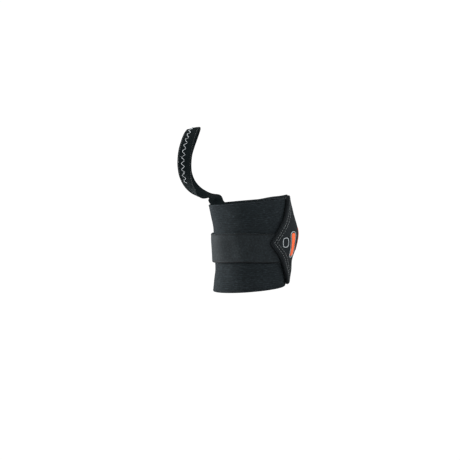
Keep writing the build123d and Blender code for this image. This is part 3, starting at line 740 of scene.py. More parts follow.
def ribbed(name, angles, inner_offset, lift, along_start=0.0, round_start=False,
           round_end=False):
    """A length of ribbed elastic with bound selvedges, and where its cloth ends."""
    edge_radius = 0.7
    across = edge_rows(BAND_H, RIB_PITCH / 5.0, edge_radius)[None, :]
    grid = angles[:, None] + 0 * across
    height = lift(grid) + across
    middle = (inner_offset + BAND_T / 2)[:, None]
    from_edge = np.minimum(across, BAND_H - across)
    full = edge_fullness(from_edge, edge_radius)
    phase = (across / RIB_PITCH) % 1.0
    rib = ((np.sin(math.pi * phase) ** 0.7 - 0.55) * 0.17
           * np.clip((from_edge - 1.3) / 0.8, 0, 1))
    # selvedge: one fuller cord at each edge
    rib = rib + 0.10 * bell(from_edge, 0.9, 0.45) - 0.12 * bell(from_edge, 1.75, 0.28)
    along = along_start + arc_length(surface(angles, middle[:, 0], 38.0))
    if round_start:
        full = full * edge_fullness(along - along[0], edge_radius)[:, None]
    if round_end:
        full = full * edge_fullness(along[-1] - along, edge_radius)[:, None]
    outer = surface(grid, middle + BAND_T / 2 * full + rib, height)
    inner = surface(grid, middle - BAND_T / 2 * full - rib * 0.8, height)
    return shell(name, outer, inner, cloth_uv(along[:, None], across)), along[-1]


BAND_TRAVEL = 404.0                              # first turn and the start of the second
OUTER_START = BAND_START - BAND_TRAVEL + 360.0
OUTER_SPLIT, OUTER_END = 143.0, 91.2


def build_band():
    """Two turns of elastic in three lengths that share one run of cloth."""
    travel = span(0.0, BAND_TRAVEL, 2.75)
    obj, along = ribbed("inner_turn_elastic", BAND_START - travel, turn_offset(travel),
                        np.zeros_like, round_start=True)
    dress(obj, BAND, "wrist_band", "ribbed_elastic", "band_inner_turn")

    start, split, seam = (surface(angle, 3.0, 38.0)
                          for angle in (OUTER_START, OUTER_SPLIT, PATCH_ROOT))
    angles = span(OUTER_START, OUTER_SPLIT, 1.5)
    obj, along = ribbed("outer_turn_elastic_palm", angles, np.full_like(angles, TURN_STEP),
                        outer_rise, along)
    dress_blend(obj, BAND, ("wrist_band", "outer_turn"), start + (split - start) * 0.12, split,
                "ribbed_elastic", "outer_turn_palm")

    angles = span(OUTER_SPLIT, OUTER_END, 1.5)
    obj, along = ribbed("outer_turn_elastic_side", angles, np.full_like(angles, TURN_STEP),
                        outer_rise, along, round_end=True)
    dress_blend(obj, BAND, ("outer_turn", "closure"), split, seam - (seam - split) * 0.02,
                "ribbed_elastic", "outer_turn_end")


FOLD_INNER = -0.56           # offset of the folded tape's face toward the wrist


def fold_profile(inner_leg, outer_leg, tip_reach, tip_half):
    """Angles and offsets down the inner leg, round the raw edge, back up the outer leg."""
    leg, overhang = 4.6, 0.2             # degrees
    tip = BAND_START + overhang
    run = (leg + overhang) * np.arange(9) / 8.0
    bend = -math.pi / 2 + math.pi * np.arange(1, 8) / 8.0
    angles = [BAND_START - leg + run, tip + tip_reach * np.cos(bend), tip - run]
    offsets = [inner_leg + 0 * run, 0.79 + tip_half * np.sin(bend), outer_leg + 0 * run]
    return np.concatenate(angles)[:, None], np.concatenate(offsets)[:, None]


def build_start_edge():
    """Folded tape over the band's inner end, and its two rows of stitches."""
    height = edge_rows(BAND_H - 0.6, 1.0, 0.5)[None, :] + 0.3
    ripple = 0.05 * np.sin(np.arange(9) * 2.4)
    outer = surface(*fold_profile(FOLD_INNER + ripple, 2.13, tip_reach=1.75, tip_half=1.35),
                    height)
    inner = surface(*fold_profile(-0.10, 1.68, tip_reach=0.75, tip_half=0.82), height)
    uv = cloth_uv(height, np.arange(len(outer))[:, None] * 0.6)
    obj = fix_normals(shell("start_edge_folded_tape", outer, inner, uv))
    dress(obj, BINDING, "wrist_band", "binding_tape", "start_edge_binding")

    rows = []
    z = np.linspace(1.6, BAND_H - 1.6, 160)
    for angle in (BAND_START - 3.1, BAND_START - 1.6):
        rows += stitch_row(surface(angle, FOLD_INNER, z), -outward(angle, z), seed=3,
                           length=1.9, gap=0.8, radius=0.21, lift=0.16)
    dress(join_parts("start_edge_stitches", rows), DARK_THREAD, "wrist_band", "hem_thread",
          "start_hem_stitching")


build_band()
build_start_edge()


# ------------------------------------------------------------------ closing patch
def patch_thickness(from_v, from_seam):
    """Face height over the patch's underside, sunk along every stitch row."""
    thick = PATCH_T * (0.55 + 0.45 * round_off(from_v, 0.9))
    thick = thick - 0.62 * bell(from_v, V_ROWS[0], 0.42) - 0.58 * bell(from_v, V_ROWS[1], 0.42)
    # fuller between the rows, at the edge and toward the middle
    thick = thick + 0.16 * bell(from_v, 3.42, 0.7) + 0.10 * bell(from_v, 1.0, 0.5)
    thick = thick + 0.30 * smooth_step((from_v - 5.2) / 7.0)
    for row in SEAM_ROWS:
        thick = thick - 0.45 * bell(from_seam, row, 0.4)
    return thick


def build_patch_face():
    level = TIP_Z + np.linspace(-1, 1, 190)[None, :] * PATCH_HALF_H
    share = np.linspace(0, 1, 118)[:, None] ** 1.15
    edge = v_edge_angle(level)
    start = np.minimum(edge, 96.8)
    angle = start + share * (PATCH_ROOT - start)
    height = patch_height(angle, level)
    from_v = np.clip((angle - edge) / V_RATE / DIAGONAL, 0, None)
    from_seam = (PATCH_ROOT - angle) * PATCH_MM_PER_DEG
    from_rim = np.minimum(from_seam, PATCH_HALF_H - np.abs(level - TIP_Z))
    thick = patch_thickness(from_v, from_seam) * (0.5 + 0.5 * round_off(from_rim, 0.9))
    # slow unevenness away from the V edge
    waves = (0.10 * np.sin(height * 0.33 + angle * 0.11)
             + 0.08 * np.sin(height * 0.19 - angle * 0.17 + 1.0))
    waves = waves * smooth_step((from_v - 6) / 5)
    outer = surface(angle, patch_base(angle) + thick + waves, height)
    inner = surface(angle, patch_base(angle) + 0.02, height)
    obj = shell("closing_patch_face", outer, inner, cloth_uv(angle * PATCH_MM_PER_DEG, height))
    dress(obj, PATCH, "closure", "patch_face", "closure_patch")


def v_path(inset, lift, step, soft=1.0):
    """Even points and normals along the V, lifted off the patch's underside."""
    level = np.linspace(2.6, 77.7, 900)
    angle = v_edge_angle(level, inset, soft)
    keep = angle < 99.5
    level, angle = level[keep], angle[keep]
    height = patch_height(angle, level)
    points = surface(angle, patch_base(angle) + lift, height)
    path, length = resample(np.concatenate([points, outward(angle, height)], 1), step)
    return path[:, :3], path[:, 3:], length


def build_patch_binding():
    """Soft bound edge, a folded tape with an oval section."""
    sides, half_width, half_height, squareness = 14, 0.82, 1.0, 0.75
    path, normal, length = v_path(inset=-0.48, lift=0.88, step=0.45)
    normal = unit(normal)
    side = np.cross(unit(np.gradient(path, axis=0)), normal)
    around = 2 * math.pi * np.arange(sides)[None, :] / sides
    cosine, sine = np.cos(around), np.sin(around)
    across = half_width * np.copysign(np.abs(cosine) ** squareness, cosine)
    up = half_height * np.copysign(np.abs(sine) ** squareness, sine)
    wobble = (1 + 0.05 * np.sin(length * 1.9) + 0.03 * np.sin(length * 4.7 + 1))[:, None]
    # hangs closer to the band away from the strap
    deep = 1 + 0.80 * smooth_step((np.abs(path[:, 2] - TIP_Z) - 19.0) / 7.0)
    up = up * np.where(up < 0, deep[:, None], 1.0) * wobble
    points = frame_points(path, side, normal, across * wobble, up)
    uv = cloth_uv(length[:, None], np.arange(sides)[None, :] * 0.45)
    obj = make_mesh("closing_patch_bound_edge", points, tube_faces(len(path), sides), uv)
    dress(fix_normals(obj), PATCH_EDGE, "closure", "patch_edge", "closure_patch_binding")


def build_patch_stitches():
    names = (("v_stitches_outer_row", "patch_stitch_outer"),
             ("v_stitches_inner_row", "patch_stitch_inner"))
    for (name, node), inset, seed in zip(names, V_ROWS, (5, 6)):
        path, normal, _ = v_path(inset, lift=1.24, step=0.4, soft=0.7)
        row = stitch_row(path, normal, seed, length=1.55, gap=0.85, radius=0.30,
                         lift=0.34, sink=0.10, wiggle=0.25)
        dress(join_parts(name, row), GREY_THREAD, "closure", "grey_thread", node)

    rows = []
    z = np.linspace(4.0, 76.5, 200) - 1.1
    for from_seam, seed in zip(SEAM_ROWS, (7, 8)):
        angle = PATCH_ROOT - from_seam / PATCH_MM_PER_DEG
        rows += stitch_row(surface(angle, patch_base(angle) + 1.42, z), outward(angle, z), seed,
                           length=1.7, gap=0.9, radius=0.28, lift=0.30, sink=0.1, wiggle=0.2)
    dress(join_parts("patch_seam_stitches", rows), GREY_THREAD, "closure", "grey_thread",
          "patch_seam_stitching")


def build_patch_foam():
    """Foam layer under the patch, cut back from the V."""
    low, high = 2.66, 3.30               # offsets of its two faces
    first, last = 67.5, 86.0             # angles
    level = np.linspace(TIP_Z - 27, TIP_Z + 27, 80)
    start = np.maximum(v_edge_angle(level, inset=2.6), first)
    keep = start < last - 1.0
    level, start = level[keep], start[keep]
    angle = start + np.linspace(0, 1, 26)[:, None] * (last - start)
    height = np.broadcast_to(level, angle.shape)
    from_side = np.minimum(angle - start, last - angle) * PATCH_MM_PER_DEG
    from_level = np.minimum(height - level[0], level[-1] - height)
    full = edge_fullness(np.minimum(from_side, from_level), 0.35)
    middle, half = (low + high) / 2, (high - low) / 2
    waves = 0.03 * np.sin(height * 0.9) * np.sin(angle * 0.8)
    outer = surface(angle, middle + half * full + waves, height)
    inner = surface(angle, middle - half * full, height)
    obj = shell("patch_foam_layer", outer, inner, cloth_uv(angle * PATCH_MM_PER_DEG, height))
    dress(obj, FOAM, "closure", "foam", "patch_backing_foam")


# share of the hook's height, share of its lean, radius
HOOK_SHAPE = [(0.0, 0.0, 0.16), (0.45, 0.15, 0.13), (0.85, 0.7, 0.12), (1.0, 1.5, 0.11),
              (0.72, 2.1, 0.07)]


def hook_field(name, stations, offset, height):
    """Small inward hooks at (angle, z): a stem leaning either way with a curled head."""
    radii = [radius for _, _, radius in HOOK_SHAPE]
    parts = []
    for k, (angle, z) in enumerate(stations):
        root, inward = surface(angle, offset, z), -outward(angle, z)
        side = unit(np.cross(inward, (0, 0, 1.0)))
        lean = side * (0.22 if k % 2 else -0.22)
        path = [root + inward * height * rise + lean * share for rise, share, _ in HOOK_SHAPE]
        parts.append(tube(path, radii, sides=5, facing=np.cross(inward, side)))
    return join_parts(name, parts)


def build_patch_hooks():
    stations = [(angle, z) for z in np.arange(TIP_Z - 24, TIP_Z + 24.1, 1.5)
                for angle in np.arange(69.0, 85.6, 2.3)
                if angle > float(v_edge_angle(z, inset=4.0)) + 0.5]
    dress(hook_field("patch_hooks", stations, offset=1.76, height=0.32), HOOKS, "closure",
          "hook_tape")


build_patch_face()
build_patch_binding()
build_patch_stitches()
build_patch_foam()
build_patch_hooks()


# ------------------------------------------------------------------ raised prints
def raised_bar(name, angle, z, width, height, radius, offset):
    """Round-ended upright bar raised from the patch face."""
    ends = 0.02 * np.array([0, 1, 2.5, 5])       # rows packed toward both ends
    rows = np.concatenate([-1 + ends, np.linspace(-0.86, 0.86, 60), 1 - ends[::-1]]) * height / 2
    into_end = np.abs(rows) - (height / 2 - radius)
    ended = width / 2 - radius + np.sqrt(np.clip(radius**2 - into_end**2, 0, None))
    half = np.maximum(np.where(into_end < 0, width / 2, ended), 0.25)
    across = np.sin(np.linspace(-1, 1, 22) * math.pi / 2)[:, None] * half
    up = np.broadcast_to(rows, across.shape)
    from_edge = np.minimum(half - np.abs(across), height / 2 - np.abs(up))
    lift = 0.34 * round_off(from_edge, 0.35)
    angles = angle + across / mm_per_degree(angle, offset, z)
    base = patch_base(angles) + offset
    outer = surface(angles, base + 0.02 + lift, z + up)
    inner = surface(angles, base - 0.20, z + up)
    return shell(name, outer, inner, cloth_uv(across, up))


def raised_frame(angle, z, width, height, radius, offset, half_line):
    """Raised outline swept round a rounded rectangle on the patch face."""
    sides, half_height = 10, 0.28
    corners = []
    for sign_x, sign_z, first in ((1, 1, 0), (-1, 1, 90), (-1, -1, 180), (1, -1, 270)):
        for k in range(11):
            turn = math.radians(first + 9 * k)
            corners.append((sign_x * (width / 2 - radius) + radius * math.cos(turn),
                            sign_z * (height / 2 - radius) + radius * math.sin(turn)))
    path = resample(np.array(corners + corners[:1]), step=0.35)[0][:-1]
    angles = angle + path[:, 0] / mm_per_degree(angle, offset, z)
    heights = z + path[:, 1]
    points = surface(angles, patch_base(angles) + offset + 0.02, heights)
    normal = outward(angles, heights)
    side = np.cross(unit(np.roll(points, -1, 0) - np.roll(points, 1, 0)), normal)
    around = np.linspace(0, 2 * math.pi, sides, endpoint=False)[None, :]
    ring = frame_points(points, side, normal, np.cos(around) * half_line,
                        np.sin(around) * half_height)
    faces = grid_faces(len(points), sides, closed=True)
    last = (len(points) - 1) * sides
    faces += [[last + k, k, (k + 1) % sides, last + (k + 1) % sides] for k in range(sides)]
    return ring.reshape(-1, 3), faces


def build_prints():
    bar = dict(angle=69.0, z=36.7, offset=PRINT_OFFSET)
    dress(raised_bar("print_upright_bar", **bar, width=3.7, height=19.6, radius=1.6),
          ORANGE, "closure", "print_orange", "emblem_bar")
    frames = [
        raised_frame(angle=56.0, z=39.4, offset=PATCH_T + 0.14, width=5.0, height=7.8,
                     radius=2.2, half_line=0.30),
        raised_frame(**bar, width=5.8, height=21.8, radius=2.5, half_line=0.26)]
    dress(join_parts("print_outline_frames", frames), PALE_GREY, "closure", "print_grey",
          "emblem_frame")
    dress(raised_bar("print_side_stripe", angle=87.5, z=40.0, offset=PATCH_T + 0.30,
                     width=1.6, height=20.0, radius=0.8),
          RED, "closure", "print_orange", "accent_stripe")


build_prints()

# ------------------------------------------------------------------ strap
# name, start and end angle, body at each end, angles the bend runs between, CAD nodes
STRAP_LENGTHS = [
    ("strap_over_back", 64.0, -2.0, ("closure", "strap_a"), (30.0, -2.0),
     ("strap_root", "strap_front")),
    ("strap_to_thumb_side", -2.0, -54.0, ("strap_a", "strap_b"), (-2.0, -54.0),
     ("strap_side",)),
    ("strap_round_thumb_side", -54.0, -101.0, ("strap_b", "strap_c"), (-54.0, -101.0),
     ("strap_thumb_side",)),
    ("strap_onto_palm", -101.0, -142.0, ("strap_c", "strap_d"), (-101.0, -142.0),
     ("strap_palm",)),
    ("strap_end_length", -142.0, -190.0, ("strap_d", "strap_tip"), (-159.0, -176.0),
     ("strap_end",))]


def strap_middle(angle):
    return surface(angle, strap_base(angle) + STRAP_T / 2, 39.0)


def strap_length(name, start, end, along_start, rounded):
    """One length of strap, its end rounded if asked, and where its cloth ends."""
    edge_radius, corner = 0.75, 6.5
    angles = span(start, end, 1.4)
    along = along_start + arc_length(strap_middle(angles))
    across = edge_rows(STRAP_W, 0.42, edge_radius)[None, :]
    grid = angles[:, None] + 0 * across
    # the strap slopes down toward the little-finger side
    centre = STRAP_MID_Z - 0.04275 * np.clip(grid + 30.0, 0, None)
    from_edge = np.minimum(across, STRAP_W - across)
    full = edge_fullness(from_edge, edge_radius)
    width = np.ones(len(angles))
    if rounded:
        left = along[-1] - along
        bulge = np.sqrt(np.clip(corner**2 - (corner - left) ** 2, 0, None))
        width = np.where(left < corner, (STRAP_W / 2 - corner + bulge) / (STRAP_W / 2), 1.0)
        full = full * edge_fullness(left, edge_radius)[:, None]
    height = centre + (across - STRAP_W / 2) * width[:, None]
    nap = (0.05 * np.sin(across * 2.6 + grid * 0.9) * np.sin(grid * 1.7 - across)
           + 0.10 * np.sin(grid * 0.21 + across * 0.15))
    cord = 0.10 * bell(from_edge, 1.1, 0.5) - 0.10 * bell(from_edge, 2.0, 0.3)
    middle = (strap_base(angles) + STRAP_T / 2)[:, None]
    relief = (nap + cord) * np.clip(from_edge / 1.2, 0, 1)
    outer = surface(grid, middle + STRAP_T / 2 * full + relief, height)
    inner = surface(grid, middle - STRAP_T / 2 * full, height)
    return shell(name, outer, inner, cloth_uv(along[:, None], across)), along[-1]


def build_strap():
    along = 0.0
    for name, start, end, bodies, bend, nodes in STRAP_LENGTHS:
        obj, along = strap_length(name, start, end, along, rounded=name == "strap_end_length")
        dress_blend(obj, STRAP, bodies, strap_middle(bend[0]), strap_middle(bend[1]),
                    "brushed_strap", *nodes)


def build_strap_stitches():
    """Crossed box of thread near the strap's end, and a row that anchors its root."""
    near, far, low, high = -165.0, -183.0, 29.4, 47.5
    corners = np.array([(near, low), (far, low), (far, high), (near, high), (near, low)])
    share = np.linspace(0, 1, 40, endpoint=False)[:, None]
    box = [a + (b - a) * share for a, b in zip(corners[:-1], corners[1:])] + [corners[-1:]]
    diagonals = [np.linspace(corners[i], corners[j], 60) for i, j in ((0, 2), (3, 1))]
    rows = []
    for (angle, z), seed in zip((np.concatenate(box).T, *(line.T for line in diagonals)),
                                (11, 12, 13)):
        points = surface(angle, strap_base(angle) + STRAP_T + 0.02, z)
        path, _ = resample(np.concatenate([points, outward(angle, z)], 1), step=0.4)
        rows += stitch_row(path[:, :3], path[:, 3:], seed, length=1.6, gap=0.7, radius=0.23,
                           lift=0.20, sink=0.12)
    dress(join_parts("strap_end_stitches", rows), DARK_THREAD, "strap_tip", "hem_thread",
          "strap_hook_stitching")

    z = np.linspace(29.9, 44.8, 60)
    row = stitch_row(surface(59.4, 3.20, z), outward(59.4, z), seed=14, length=1.6, gap=0.7,
                     radius=0.16, lift=0.10, sink=0.1)
    dress(join_parts("strap_anchor_stitches", row), DARK_THREAD, "closure", "hem_thread",
          "strap_anchor_stitching")


def build_strap_hooks():
    stations = [(angle, z) for z in np.arange(29.2, 47.9, 1.25)
                for angle in np.arange(-184.0, -163.5, 2.0)]
    dress(hook_field("strap_hooks", stations, offset=4.0, height=0.30), HOOKS, "strap_tip",
          "hook_tape")
    # the CAD pieces behind both hook fields stay and take the same look
    for name in ("patch_hook_panel", "strap_hook_tab"):
        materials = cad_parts[name].data.materials
        materials.clear()
        materials.append(HOOKS)


build_strap()
build_strap_stitches()
build_strap_hooks()


# ------------------------------------------------------------------ thumb loop
def tail_point(angle, z):
    """Point in the middle of a tail's tape, clear of the band's swells."""
    return surface(angle, 0.85, z) - outward(angle, z) * float(give(angle, z))


def inward(angle, z):
    return -outward(angle, z)


TAIL_HEIGHTS = (50.0, 56.0, 62.0, 68.0, 73.5)
front_top = tail_point(FRONT_TAIL, 74.0) + (-0.35, -0.3, 0)
palm_top = tail_point(PALM_TAIL, 74.0) + (-0.25, 0.25, 0)
front_top[2] = palm_top[2] = 80.6
between = unit(palm_top - front_top)
top_facing = np.array([between[1], -between[0], 0.0])

# Round the thumb from the front tail to the palm tail: point, direction the tape faces
LOOP_KNOTS = [
    ((-32.6, 4.7, 82.0), (0.55, -0.20, 0.80)), ((-35.0, 4.7, 82.9), (0.15, 0.0, 0.99)),
    ((-38.5, 3.2, 83.0), (0.14, 0.0, 0.98)), ((-42.2, 0.7, 84.0), (0.45, 0.05, 0.78)),
    ((-45.7, -2.1, 87.4), (0.68, 0.18, 0.58)), ((-48.4, -4.8, 91.6), (0.66, 0.55, 0.45)),
    ((-50.6, -7.7, 96.8), (0.55, 0.80, 0.25)), ((-51.9, -10.2, 102.4), (0.35, 0.93, 0.12)),
    ((-52.3, -11.7, 108.5), (0.15, 0.99, 0.05)), ((-52.0, -12.6, 115.0), (0.0, 1.0, 0.0)),
    ((-50.5, -12.7, 123.2), (0.0, 1.0, -0.1)), ((-47.9, -11.3, 131.0), (0.1, 0.93, -0.35)),
    ((-45.2, -8.0, 137.5), (0.1, 0.72, -0.7)), ((-43.0, -3.8, 141.6), (0.1, 0.35, -0.93)),
    ((-42.0, 0.8, 142.9), (0.1, -0.05, -1.0)), ((-42.4, 5.2, 141.6), (0.1, -0.45, -0.88)),
    ((-44.6, 9.3, 137.6), (0.15, -0.80, -0.55)), ((-48.0, 12.3, 131.0), (0.15, -0.96, -0.25)),
    ((-51.5, 14.0, 122.5), (0.12, -0.99, -0.08)), ((-53.3, 14.6, 113.0), (0.12, -0.99, 0.0)),
    ((-53.3, 14.4, 104.5), (0.20, -0.97, 0.05)), ((-51.0, 14.3, 97.0), (0.40, -0.90, 0.18)),
    ((-47.0, 14.8, 91.2), (0.50, -0.78, 0.38)), ((-41.8, 15.8, 87.2), (0.42, -0.60, 0.68)),
    ((-36.0, 16.5, 84.6), (0.28, -0.35, 0.90)), ((-30.6, 16.6, 83.2), (0.30, -0.16, 0.94)),
    (palm_top + (-1.0, 0.5, 1.5), (0.62, -0.33, 0.70)), (palm_top, top_facing)]


def tail_knots(angle):
    """Knots up one tail from its lower end to just over the band's top."""
    knots = [(tail_point(angle, z), inward(angle, z)) for z in TAIL_HEIGHTS]
    crest = np.array([*tail_point(angle, 76.6)[:2], 77.0])
    return knots + [(crest, inward(angle, 76.6) + top_facing * 0.25)]


def smooth_path(knots, step):
    """Catmull-Rom through points and directions, evenly spaced, then eased."""
    knots = np.array([np.concatenate([point, unit(np.array(facing))])
                      for point, facing in knots])
    last = len(knots) - 2
    pieces = []
    t = np.linspace(0, 1, 14, endpoint=False)[:, None]
    for k in range(last + 1):
        before, here = knots[max(k - 1, 0)], knots[k]
        there, after = knots[k + 1], knots[min(k + 2, last + 1)]
        gap_in, gap, gap_out = (
            max(np.linalg.norm(b[:3] - a[:3]), 1e-6) ** 0.5
            for a, b in ((before, here), (here, there), (there, after)))
        slope_here = slope_there = (there - here) / gap
        if k > 0:
            slope_here = (slope_here - (there - before) / (gap_in + gap)
                          + (here - before) / gap_in)
        if k < last:
            slope_there = ((after - there) / gap_out - (after - here) / (gap + gap_out)
                           + slope_there)
        pieces.append(hermite(here, slope_here * gap, there, slope_there * gap, t))
    dense = np.concatenate(pieces + [knots[-1:]])
    length = arc_length(dense[:, :3])
    stations = np.linspace(0, length[-1], int(round(length[-1] / step)) + 1)
    path = interpolate(stations, length, dense)
    for _ in range(3):
        path[1:-1] = (path[:-2] + 2 * path[1:-1] + path[2:]) / 4
    return path, stations


loop_path, loop_along = smooth_path(
    tail_knots(FRONT_TAIL) + [(front_top, top_facing)] + LOOP_KNOTS
    + tail_knots(PALM_TAIL)[::-1], step=0.55)
loop_points = loop_path[:, :3]
loop_z = loop_points[:, 2]
loop_tangent = unit(np.gradient(loop_points, axis=0))
loop_side = unit(np.cross(loop_tangent, loop_path[:, 3:]))
loop_normal = np.cross(loop_tangent, loop_side)          # away from the thumb
loop_top = int(np.argmax(loop_z))
# the loop bends from the band to the thumb between these two points
LOOP_BEND = [(front_top[0], front_top[1], z) for z in (77.6, 82.6)]


def tape_swell(along, z, x):
    """Cupping above the band and slight waves, x across the tape."""
    cup = LOOP_CUP * smooth_step((z - 88) / 10) * (1 - (x / (LOOP_W / 2)) ** 2)
    waves = (0.07 * np.sin(along * 0.42) * np.sin(x * 0.6)
             + 0.05 * np.sin(along * 0.9 + 1.2) * (x / LOOP_W))
    return cup + waves


def tape_face(index, x, lift):
    """Points on the tape's outer face at path indices, x across it."""
    height = LOOP_T / 2 + tape_swell(loop_along[index], loop_z[index], x) + lift
    return (loop_points[index] + loop_side[index] * np.asarray(x)[..., None]
            + loop_normal[index] * height[..., None])


def build_loop_tape():
    edge_radius = 0.5
    across = edge_rows(LOOP_W, 0.42, edge_radius)[None, :]
    x = across - LOOP_W / 2
    from_edge = np.minimum(across, LOOP_W - across)
    z, along = loop_z[:, None], loop_along[:, None]
    cord = 0.10 * bell(from_edge, 0.8, 0.35) - 0.10 * bell(from_edge, 1.5, 0.25)
    half = LOOP_T / 2 * edge_fullness(from_edge, edge_radius) + cord
    # the tails bend across their width to lie along the band
    middle = tape_swell(along, z, x) - smooth_step((78.5 - z) / 3.0) * x ** 2 / 46.0
    outer, inner = (frame_points(loop_points, loop_side, loop_normal, x, up)
                    for up in (middle + half, middle - half))
    obj = shell("thumb_loop_woven_tape", outer, inner, cloth_uv(along, across))
    dress_blend(obj, LOOP_TAPE, ("wrist_band", "thumb_loop"), *LOOP_BEND, "loop_tape",
                "thumb_loop_tape", "loop_tail_front", "loop_tail_palm")


def build_zigzag():
    """One continuous white cord that dips where it enters the tape."""
    pitch, reach, centre = 5.0, 1.15, 1.2
    first = int(np.argmin(np.abs(loop_z[:loop_top] - 97.0)))
    along = np.arange(loop_along[first], loop_along[loop_top + 2], 0.16)
    phase = ((along - along[0]) / pitch) % 1.0
    swing = np.where(phase < 0.5, -1 + 4 * phase, 3 - 4 * phase)
    x = centre + reach * np.sin(swing * math.pi / 2 * 0.98)
    lift = 0.20 - 0.50 * np.abs(swing) ** 8
    position = np.interp(along, loop_along, np.arange(len(loop_along)))
    index = position.astype(int)
    here = tape_face(index, x, lift)
    there = tape_face(np.minimum(index + 1, len(loop_along) - 1), x, lift)
    path = here + (there - here) * (position - index)[:, None]
    radius = 0.18 * (1 + 0.10 * np.sin(np.arange(len(path)) * 0.9))
    cord = tube(path, radius, sides=8, facing=loop_normal[index])
    dress_blend(join_parts("zigzag_elastic_thread", [cord]), WHITE_THREAD,
                ("wrist_band", "thumb_loop"), *LOOP_BEND, "white_thread",
                "loop_zigzag_stitching")


def build_loop_edge_stitches():
    """A fine dark row along each edge of the tape."""
    start = int(np.argmin(np.abs(loop_z[:loop_top] - 90)))
    end = loop_top + int(np.argmin(np.abs(loop_z[loop_top:] - 90)))
    index = np.arange(start, end)
    rows = []
    for x, seed in ((4.9, 21), (-4.9, 22)):
        rows += stitch_row(tape_face(index, x, 0.0), loop_normal[index], seed,
                           length=1.3, gap=0.6, radius=0.16, lift=0.13, sink=0.1)
    dress_blend(join_parts("loop_edge_stitches", rows), DARK_THREAD,
                ("wrist_band", "thumb_loop"), *LOOP_BEND, "hem_thread")


def build_bar_tacks():
    """Dense satin stitches across each tail, on its wrist side."""
    half_width, half_height = 4.6, 0.9
    rise = np.linspace(-half_height, half_height, 7)[:, None] * np.array([0, 0, 1.0])
    lift = 0.72 + 0.12 * np.sin(np.linspace(0, math.pi, 7))[:, None] ** 0.5
    parts = []
    for angle in (FRONT_TAIL, PALM_TAIL):
        for z in (53.0, 70.5):
            centre, facing = tail_point(angle, z), inward(angle, z)
            side = np.cross((0, 0, 1.0), facing)
            for x in np.linspace(-half_width, half_width, 17):
                path = centre + side * x + facing * lift + rise
                parts.append(tube(path, 0.26, sides=6, facing=facing))
    dress(join_parts("loop_bar_tack_stitches", parts), DARK_THREAD, "wrist_band",
          "hem_thread", "loop_bar_tacks")


build_loop_tape()
build_zigzag()
build_loop_edge_stitches()
build_bar_tacks()

# ------------------------------------------------------------------ studio
WHITE = (1, 1, 1)
SEEN_WHITE = 1.05            # strength of the white that only the camera sees


def paper_material(name, tone, rough):
    """White paper: plain white to the camera, an ordinary surface to light."""
    g = Graph(name, tone)
    mottle = g.noise(g.position(), scale=0.01, detail=2.0, rough=0.5)
    g.finish(g.shades(mottle, [(0.3, 0.99), (0.7, 1.0)]), rough, spec=0.1)
    path = g.node("ShaderNodeLightPath")
    glow = g.node("ShaderNodeEmission")
    g.put(glow.inputs["Color"], WHITE)
    g.put(glow.inputs["Strength"], SEEN_WHITE)
    pick = g.node("ShaderNodeMixShader")
    g.put(pick.inputs[0], path.outputs["Is Camera Ray"])
    g.put(pick.inputs[1], g.bsdf.outputs[0])
    g.put(pick.inputs[2], glow.outputs[0])
    g.put(g.tree.nodes["Material Output"].inputs["Surface"], pick.outputs[0])
    return g.material


def build_backdrop():
    """Pale floor that sweeps up behind the object without a corner."""
    half_width, bend_start, bend, wall_top, drop = 3200, 1000, 900, 3400, 0.05
    profile = [(-2200, 0)] + [(y, 0) for y in np.linspace(-1600, bend_start, 8)]
    profile += [(bend_start + bend * math.sin(turn), bend - bend * math.cos(turn))
                for turn in np.linspace(0.1, math.pi / 2, 14)]
    profile += [(bend_start + bend, wall_top)]
    points = [(x, y, z - drop) for x in (-half_width, half_width) for y, z in profile]
    count = len(profile)
    faces = [[i, i + 1, count + i + 1, count + i] for i in range(count - 1)]
    floor = make_mesh("studio_sweep", points, faces)
    floor.data.materials.append(paper_material("studio_paper", (0.42, 0.42, 0.42), rough=0.9))


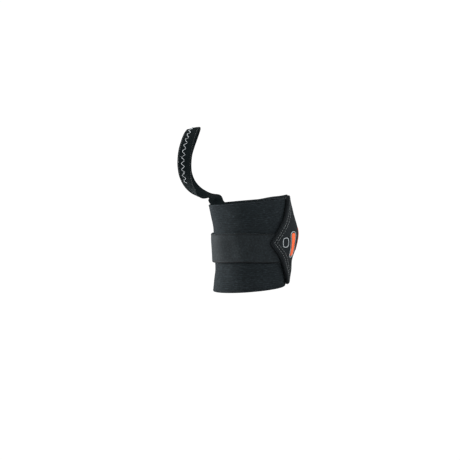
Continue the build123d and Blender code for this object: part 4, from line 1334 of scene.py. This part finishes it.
def build_world():
    """Soft grey light all round, white where the camera sees it."""
    world = bpy.data.worlds.new("studio_world")
    world.use_nodes = True
    nodes, links = world.node_tree.nodes, world.node_tree.links
    ambient = nodes["Background"]
    seen = nodes.new("ShaderNodeBackground")
    for background, strength in ((ambient, 0.46), (seen, SEEN_WHITE)):
        background.inputs["Color"].default_value = (*WHITE, 1)
        background.inputs["Strength"].default_value = strength
    path = nodes.new("ShaderNodeLightPath")
    pick = nodes.new("ShaderNodeMixShader")
    links.new(path.outputs["Is Camera Ray"], pick.inputs[0])
    links.new(ambient.outputs[0], pick.inputs[1])
    links.new(seen.outputs[0], pick.inputs[2])
    links.new(pick.outputs[0], nodes["World Output"].inputs[0])
    bpy.context.scene.world = world


# name, place in metres, width and height in metres, power in watts
LIGHTS = [
    ("soft_left", (-0.82, 0.10, 0.16), (0.22, 0.5), 26.0),
    ("soft_front", (0.30, -0.95, 0.45), (0.9, 0.7), 8.6),
    ("soft_top", (0.0, 0.1, 1.1), (1.0, 1.0), 4.0),
    ("soft_right", (0.8, -0.25, 0.35), (0.4, 0.8), 5.0)]
LIGHT_TARGET = Vector((0.0, 0.0, 0.05))


def build_lights():
    for name, place, size, power in LIGHTS:
        light = bpy.data.lights.new(name, "AREA")
        light.shape = "RECTANGLE"
        light.size, light.size_y = size
        light.energy = power
        light.color = WHITE
        obj = bpy.data.objects.new(name, light)
        bpy.context.scene.collection.objects.link(obj)
        obj.location = place
        aim = LIGHT_TARGET - Vector(place)
        obj.rotation_euler = aim.to_track_quat("-Z", "Y").to_euler()


def build_camera():
    """Camera on the -Y side, a little above level, with a slight roll."""
    distance, view_width = 650.0, 404.8      # the view's width at that distance
    shift_right, shift_up = -17.6, 14.96
    target = np.array([-1.8, 0.0, 36.0])
    pitch, roll = math.radians(5.0), math.radians(4.85)
    level_right = np.array([1, 0, 0.0])
    forward = np.array([0, math.cos(pitch), -math.sin(pitch)])
    level_up = np.array([0, math.sin(pitch), math.cos(pitch)])
    right = math.cos(roll) * level_right - math.sin(roll) * level_up
    up = math.sin(roll) * level_right + math.cos(roll) * level_up
    place = target - distance * forward + shift_right * right + shift_up * up
    camera = bpy.data.cameras.new("camera")
    camera.sensor_fit = "HORIZONTAL"
    camera.sensor_width = 36.0
    camera.lens = 36.0 * distance / view_width
    camera.clip_start, camera.clip_end = 0.01, 20.0
    obj = bpy.data.objects.new("camera", camera)
    bpy.context.scene.collection.objects.link(obj)
    pose = np.eye(4)
    pose[:3] = np.column_stack([right, up, -forward, place * MM])
    obj.matrix_world = Matrix(pose.tolist())
    bpy.context.scene.camera = obj


build_backdrop()
build_world()
build_lights()
build_camera()
bpy.context.scene.view_settings.view_transform = "Standard"
